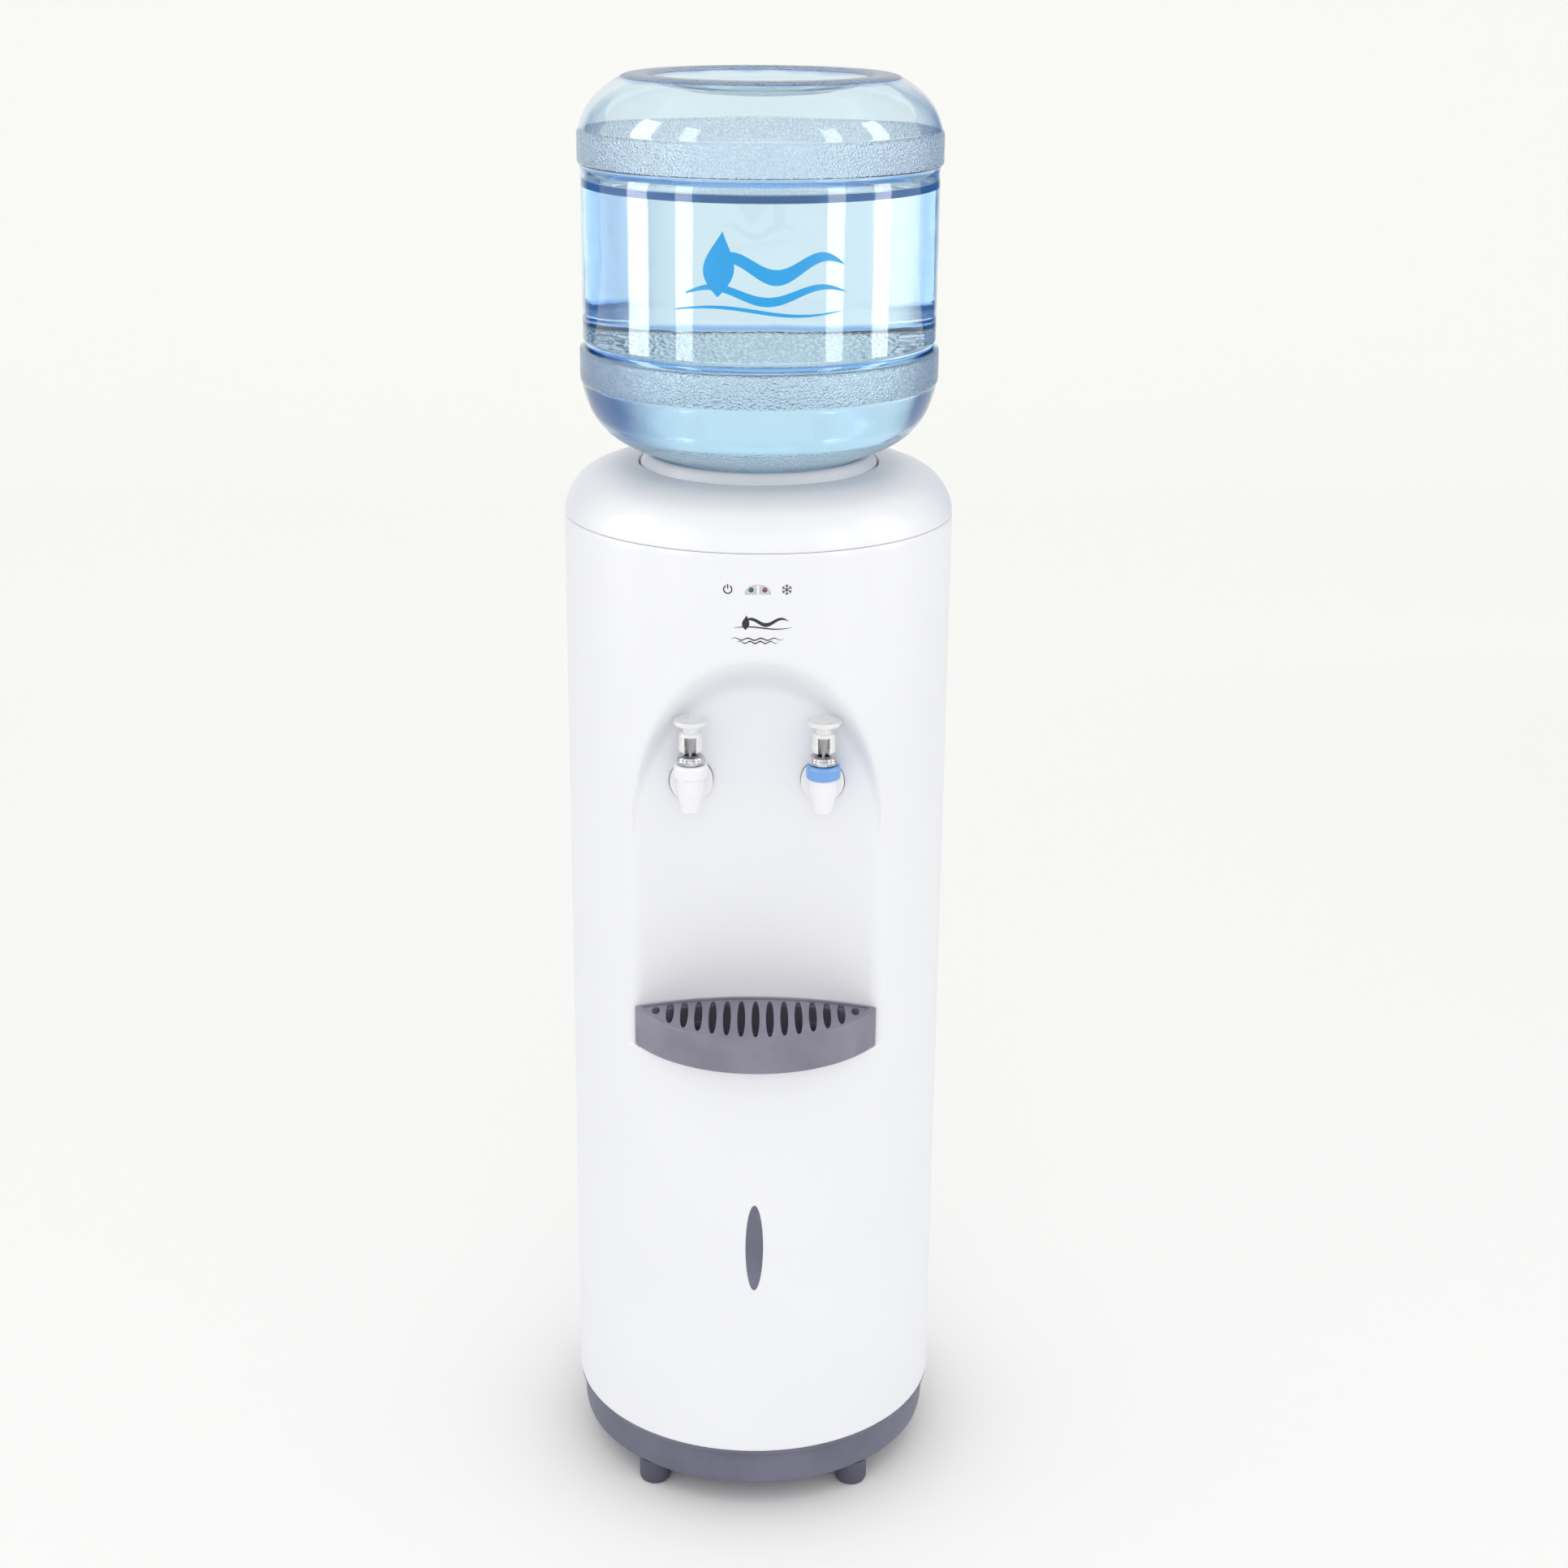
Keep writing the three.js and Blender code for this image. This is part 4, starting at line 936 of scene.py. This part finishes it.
def tapSet(name, ringLook, ringSlot):
    bonnetLow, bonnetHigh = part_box("tap_bonnet_" + name)
    x = (bonnetLow.x + bonnetHigh.x) / 2 / mm
    y = (bonnetLow.y + bonnetHigh.y) / 2 / mm
    z1 = bonnetLow.z / mm - 0.3
    bodyLow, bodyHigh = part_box("tap_body_" + name)
    z0 = z1 - taps["nozzle"]
    centre = (x, y)
    shankZ = z1 - taps["shank"]
    discZ = (bodyLow.z + bodyHigh.z) / 2 / mm
    discR = (bodyHigh.x - bodyLow.x) / 2 / mm

    nozzle = spun("tapBody." + name, [
        (4.4, z0 + 0.4, 0.3), (5.2, z0, 0.3), (6.8, z0, 0.6), (7.4, z0 + 1, 0.5), (8.2, z0 + 6, 2),
        (10.4, z1 - 8, 4), (10.8, z1 + 2.6, 0.5), (10.4, z1 + 3.4, 0.3), (6.5, z1 + 3.4), (6.5, z1 - 12),
        (4.4, z1 - 12)], 64, centre, closed=True)
    shank = rodAlong("shank", "y", 8, y + 5, bodyHigh.y / mm, (x, 0, shankZ))
    front = y + taps["disc"]
    rings = []
    for r, forward in ((discR, 6), (discR, 1), (discR - 0.5, 0.3), (discR - 1.4, 0)):
        ring = []
        for k in range(64):
            t = 2 * math.pi * k / 64
            px, pz = x + r * math.cos(t), discZ + r * math.sin(t)
            wall = wallBehind(px) + axisY
            ring.append((px, max(min(front + forward, wall - 0.2), front - 0.2 + forward * 0.1), pz))
        rings.append(ring)
    disc = lofted("disc", rings)
    made = merged("tapBody." + name, nozzle, shank, disc)
    smooth(made)
    finished(made, "cabinet", ["tap_body_" + name], "white", whiteTap)

    # A dark ring round the wall disc: painted shadow of the gap between the disc and the niche wall.
    discShadow, n = [], 64
    turn = [2 * math.pi * k / n for k in range(n)]
    for r, out in ((discR + 0.35, 0.2), (discR + 0.35, 0.9), (discR - 0.2, 1.1), (discR - 0.2, 0.2)):
        loop = [(x + r * math.cos(t), discZ + r * math.sin(t)) for t in turn]
        discShadow.append([(px, wallBehind(px) + axisY - out, pz) for px, pz in loop])
    faces = [(k * n + i, k * n + (i + 1) % n, ((k + 1) % 4) * n + (i + 1) % n, ((k + 1) % 4) * n + i)
             for k in range(4) for i in range(n)]
    ring = meshPiece("tapDiscShadow." + name, [p for loop in discShadow for p in loop], (), faces)
    editAll(ring, facesOut)
    smooth(ring)
    finished(ring, "cabinet", [], "black", baseGrey)

    b = z1
    bonnet = spun("tapBonnet." + name, [
        (3, b + 12.6), (3, b + 14.6), (8, b + 14.6, 0.4), (8.6, b + 14.2, 0.3), (11, b + 14.4, 0.6),
        (12.6, b + 13.6, 1), (13, b + 12, 0.8), (13, b + 5.2, 0.8), (12.6, b + 3.9, 0.5), (9.6, b + 3.7),
        (9.6, b + 12.6)], 72, centre, closed=True)
    smooth(bonnet)
    finished(bonnet, "cabinet", ["tap_bonnet_" + name], ringSlot, ringLook)

    c = b + 14.9
    collar = spun("tapRing." + name, [
        (5, c), (10.4, c, 0.3), (11, c + 0.7, 0.4), (11, c + 3, 0.4), (10.4, c + 3.6, 0.3),
        (10.4, c + 4, 0.3), (10.8, c + 4.6, 0.4), (10, c + 6, 0.8), (7.4, c + 6.9, 0.8),
        (5.6, c + 6.6, 0.4), (5, c + 5.8)],
        72, centre, closed=True)
    smooth(collar)
    finished(collar, "cabinet", ["tap_ring_" + name], "chrome", chrome)

    refined("tapStem." + name, "tap_stem_" + name, name + "_stem", "steel", tangSteel, 0.35)

    low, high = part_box("tap_spring_" + name)
    tall = (high.z - low.z) / mm
    wire, count = taps["wire"], taps["turns"] * taps["steps"]
    coil = (high.x - low.x) / 2 / mm - wire
    rings = []
    for i in range(count + 1):
        t = 2 * math.pi * i / taps["steps"]
        h = low.z / mm + wire + (tall - 2 * wire) * i / count
        loop = [(coil + wire * math.cos(a), wire * math.sin(a))
                for a in [2 * math.pi * k / 10 for k in range(10)]]
        rings.append([(x + r * math.cos(t), y + r * math.sin(t), h + up) for r, up in loop])
    spring = lofted("tapSpring." + name, rings)
    smooth(spring)
    finished(spring, "cabinet", ["tap_spring_" + name], "steel", steel)
    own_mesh(spring)

    p = (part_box("tap_pin_" + name)[0].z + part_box("tap_pin_" + name)[1].z) / 2 / mm
    lever = spun("tapLever." + name, [
        (0, p - 9.4), (8.4, p - 9.4, 0.5), (8.8, p - 8.8, 0.5), (8.7, p + 2.5, 2), (8, p + 5, 1.5),
        (6, p + 5.6, 0.8), (6.6, p + 6.6, 0.6), (5.6, p + 7.6, 0.8), (5.6, p + 9.4, 1.2),
        (10.6, p + 10.6, 1.6), (12.8, p + 12, 1), (13, p + 14.4, 0.6), (12.2, p + 15.2, 0.5),
        (11, p + 14.6, 0.6), (3, p + 13.8, 2), (0, p + 13.8)], 72, centre)
    fork = block("fork", x - 4.5, x + 4.5, y - 10, y + 10, p - 11, p + 2.6)
    window = rodAlong("window", "z", 6.6, p - 11, p + 1.6, (x, y, 0), 40)
    bore = rodAlong("bore", "x", 1.35, x - 9, x + 9, (0, y, p), 24)
    cutBy(lever, fork, window, bore)
    bevel(lever, 0.3, 2, 50)
    smooth(lever)
    finished(lever, name + "_lever", ["tap_lever_" + name], "milky", clearMilky)


print("taps")
tapSet("room", whiteTap, "white")
tapSet("cold", ringBlue, "ring_blue")


bottle = {
    "neck": 27.5, "wall": 2, "side": 133.8, "band": 136.2, "waterLine": seamZ + 251, "waterIn": 1.2,
}


def bottleLine(inset=0.0):
    b = bottle
    outline = [
        (b["neck"], -28), (b["neck"], 6, 1), (28.4, 11, 3), (34, 18.5, 5), (44, 24.2, 6), (62, 34.2, 8),
        (80, 45, 5), (94, 50.6, 5), (105.5, 55.8, 5), (114, 61.2, 5), (121, 68, 5), (127, 76, 5),
        (131, 84.6, 5), (133.8, 94, 5), (135.2, 101, 3), (b["band"], 103, 1.5), (b["band"], 125, 1.2),
        (b["side"] + 0.2, 127, 1.2), (b["side"] - 1.4, 130, 1.2), (b["side"], 133.4, 1.4),
        (b["side"], 248, 1.4), (b["side"] - 0.5, 256, 3), (b["side"] + 0.6, 260.5, 1.5),
        (b["band"], 262.5, 1), (b["band"], 284, 1.2), (134.8, 287, 1.5), (133, 293, 4), (129, 302, 5),
        (122, 310.5, 6), (113.5, 317.5, 5), (106, 322.3, 3), (101, 324.8, 1.6), (97, 325.6, 1.2),
        (84, 325.6, 2), (79, 323.6, 3), (72, 319.6, 4), (60, 316.2, 8), (30, 313, 6), (0, 312.6),
    ]
    line = softened([(r, z + seamZ, *rest) for r, z, *rest in outline], steps=5)
    if inset == 0:
        return line
    moved = []
    for i, (r, z) in enumerate(line):
        a, c = line[max(0, i - 1)], line[min(len(line) - 1, i + 1)]
        far = math.dist(a, c)
        moved.append((max(0, r - inset * (c[1] - a[1]) / far), z + inset * (c[0] - a[0]) / far))
    moved[0] = (line[0][0] - inset, line[0][1])
    moved[-1] = (0, line[-1][1] - inset)
    return moved


def makeBottle():
    outer = bottleLine()
    inner = bottleLine(bottle["wall"])
    made = spun("bottleShell", outer + inner[::-1] + [outer[0]], 160)
    smooth(made, 60)
    finished(made, "bottle_body", ["bottle"], "clear_blue", bottleClear)


def makeWater():
    level = bottle["waterLine"]
    line = [p for p in bottleLine(bottle["waterIn"]) if p[1] < level - 1]
    r = line[-1][0]
    start = line[0]
    rim = [(r, level - 0.6), (r, level + 1), (r - 1.2, level + 0.5), (r - 3.5, level + 0.1), (r - 7, level)]
    # An opaque dark-blue ring at the water line: painted reflection, the dark curve the water surface shows
    # from above.
    edge = spun("waterEdge", [(r - 0.4, level - 5.2), (r - 0.2, level + 0.4), (r - 1.6, level - 0.8)], 160,
                closed=True)
    smooth(edge, 60)
    finished(edge, "bottle_body", [], "clear_blue", paintedWaterLine)
    made = spun("water", [(0, start[1] + 4), (start[0], start[1] + 4)] + line[1:] + rim + [(0, level)], 160)
    smooth(made, 50)
    finished(made, "bottle_body", [], "clear_blue", water)


def onBottle(u, v):
    r = bottle["side"] + 0.12
    return (r * math.sin(u / r), -r * math.cos(u / r) + axisY, v)


def bottleMark():
    z = seamZ + 190
    mark = [dropRibbon("mark", onBottle, (-30, z + 14), 46),
            waveRibbon("mark", onBottle, (12, z + 12), 104, 7, 11, 1.5),
            waveRibbon("mark", onBottle, (6, z - 7), 120, 5, 6.5, 1.5),
            waveRibbon("mark", onBottle, (0, z - 19), 126, 3, 2.6, 1)]
    finished(merged("bottleMark", *mark), "bottle_body", [], "ring_blue", inkBlue)


def bottleCap():
    z = seamZ
    made = spun("bottleCap", [
        (10.5, z - 31, 0.4), (28.6, z - 31, 1), (30, z - 29.6, 1), (30, z - 12, 0.4), (29.4, z - 11.4, 0.3),
        (29.4, z - 10.4, 0.3), (30, z - 9.8, 0.3), (29.8, z - 8, 0.4), (27.9, z - 8), (27.9, z - 28.4),
        (10.5, z - 28.4)], 96, closed=True)
    smooth(made)
    finished(made, "bottle_body", ["bottle_cap"], "cap_blue", capBlue)


print("bottle")
makeBottle()
makeWater()
bottleMark()
bottleCap()


print("back and inside")
for name, node, body, slotName, look, width in (
    ("ventGrille", "rear_vent_grille", "cabinet", "grey", baseGrey, 0.5),
    ("mainsInlet", "mains_inlet", "cabinet", "black", black, 0.5),
    ("switchHousing", "switch_housing", "cabinet", "black", black, 0.4),
    ("switchRocker", "switch_rocker", "rocker", "black", black, 0.4),
    ("fanFrame", "fan_frame", "cabinet", "black", black, 0.3),
    ("fanRotor", "fan_rotor", "fan_wheel", "black", black, 0.2),
    ("heatSink", "heat_sink", "cabinet", "aluminium", aluminium, 0.15),
    ("drainCap", "drain_cap", "drain_cap_body", "white", white, 0.5),
):
    refined(name, node, body, slotName, look, width)

nodeLooks = {
    steel: ["rear_frame", "cold_tank", "tank_shelf", "rear_screw_1", "rear_screw_2"],
    aluminium: ["cold_block"],
    ceramic: ["peltier_module"],
    foam: ["foam_jacket"],
    board: ["lamp_board", "power_board"],
    hoseRubber: ["room_water_hose", "cold_water_hose", "drain_hose"],
    milky: ["feed_probe", "baffle_plate"],
    white: ["tank_lid", "drain_spout"],
}
for tap in ("room", "cold"):
    nodeLooks[steel].append("tap_pin_" + tap)
    nodeLooks[white] += ["tap_nut_" + tap]
    nodeLooks.setdefault(sealRubber, []).append("tap_seal_" + tap)
for look, names in nodeLooks.items():
    for name in names:
        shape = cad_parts[name].data
        shape.materials.clear()
        shape.materials.append(look)


studio = {
    "camera": (0, -1936.4, 1199.0 + bodyZ), "pitch": 19.17, "roll": 0.325, "lens": 58.43, "shift": 0.0173,
    "near": (0.935, 0.935, 0.935, 1), "far": (0.97, 0.97, 0.955, 1), "sky": 0.97,
}


def makeStudio():
    view = bpy.data.cameras.new("camera")
    view.lens = studio["lens"]
    view.sensor_width = 36
    view.shift_x = studio["shift"]
    eye = bpy.data.objects.new("camera", view)
    x, y, z = studio["camera"]
    eye.location = (x * mm, (y + axisY) * mm, z * mm)
    eye.rotation_mode = "XYZ"
    tilt = Matrix.Rotation(math.radians(90 - studio["pitch"]), 4, "X")
    roll = Matrix.Rotation(math.radians(studio["roll"]), 4, "Z")
    eye.matrix_world = Matrix.Translation(eye.location) @ tilt @ roll
    bpy.context.scene.collection.objects.link(eye)
    bpy.context.scene.camera = eye

    outline = [(-6000, 0)] + [(3600 + 1400 * math.sin(t), 1400 - 1400 * math.cos(t))
                              for t in [math.pi / 2 * i / 16 for i in range(17)]] + [(5000, 7000)]
    points = [(x, y, z) for y, z in outline for x in (-7000, 7000)]
    faces = [(2 * i, 2 * i + 1, 2 * i + 3, 2 * i + 2) for i in range(len(outline) - 1)]
    sweep = meshPiece("sweep", points, (), faces)
    s = Sheet("studioFloor")
    depth = s.axes()[1]
    # Painted light: the sweep turns paler towards the back wall, which the lamps light less.
    paintedBackLight = s.between(depth + 0.3 * s.noise(0.6, 3), -0.6, 4.5)
    s.shade(Base_Color=s.blend(paintedBackLight, studio["near"], studio["far"]), Roughness=0.7)
    sweep.data.materials.append(s.material)
    smooth(sweep, 40)

    world = bpy.data.worlds.new("room")
    bpy.context.scene.world = world
    world.use_nodes = True
    world.node_tree.nodes["Background"].inputs["Color"].default_value = (1, 1, 0.99, 1)
    world.node_tree.nodes["Background"].inputs["Strength"].default_value = studio["sky"]

    softboxes = [
        ("front", (0, -4000, 2200), (3, 2), 17, 0.75), ("top", (0, 0, 3000), (2.4, 2.4), 3, 0.4),
    ]
    for name, angle, wide, glow in (("edgeLeft", -81.5, 0.5, 7), ("stripLeft", -47.5, 0.34, 5),
                                    ("stripRight", 47.5, 0.34, 5), ("edgeRight", 81.5, 0.4, 6)):
        t = math.radians(angle)
        softboxes.append((name, (1700 * math.sin(t), -1700 * math.cos(t), 1450), (wide, 1.8),
                          glow * math.pi * wide * 1.8, 1.45))
    for name, at, size, power, aimed in softboxes:
        light = bpy.data.lights.new(name, "AREA")
        light.shape = "RECTANGLE"
        light.size, light.size_y = size
        light.energy = power
        lamp = bpy.data.objects.new(name, light)
        lamp.location = [c * mm for c in at]
        lamp.rotation_euler = (Vector((0, 0, aimed)) - lamp.location).to_track_quat("-Z", "Y").to_euler()
        lamp.visible_diffuse = name in ("front", "top")
        bpy.context.scene.collection.objects.link(lamp)

    # dark flags at the sides give the clear bottle its edges
    dark = Sheet("studioFlag")
    away = dark.maths("ABSOLUTE", dark.axes()[0] + 0.35) + 0.5 * dark.noise(1.4, 3)
    shade = dark.blend(dark.between(away, 0.95, 2.1), (0.94, 0.96, 0.97, 1), (0.05, 0.14, 0.36, 1))
    dark.shade(Base_Color=shade, Roughness=0.9)
    for side in (-1, 1):
        flag = block("flag", side * 2300 - 1800, side * 2300 + 1800, 2500, 2520, 300, 2600)
        flag.visible_camera = False
        flag.visible_diffuse = False
        flag.visible_shadow = False
        flag.data.materials.append(dark.material)


print("studio")
makeStudio()
bpy.context.scene.view_settings.view_transform = "Standard"
deselect()
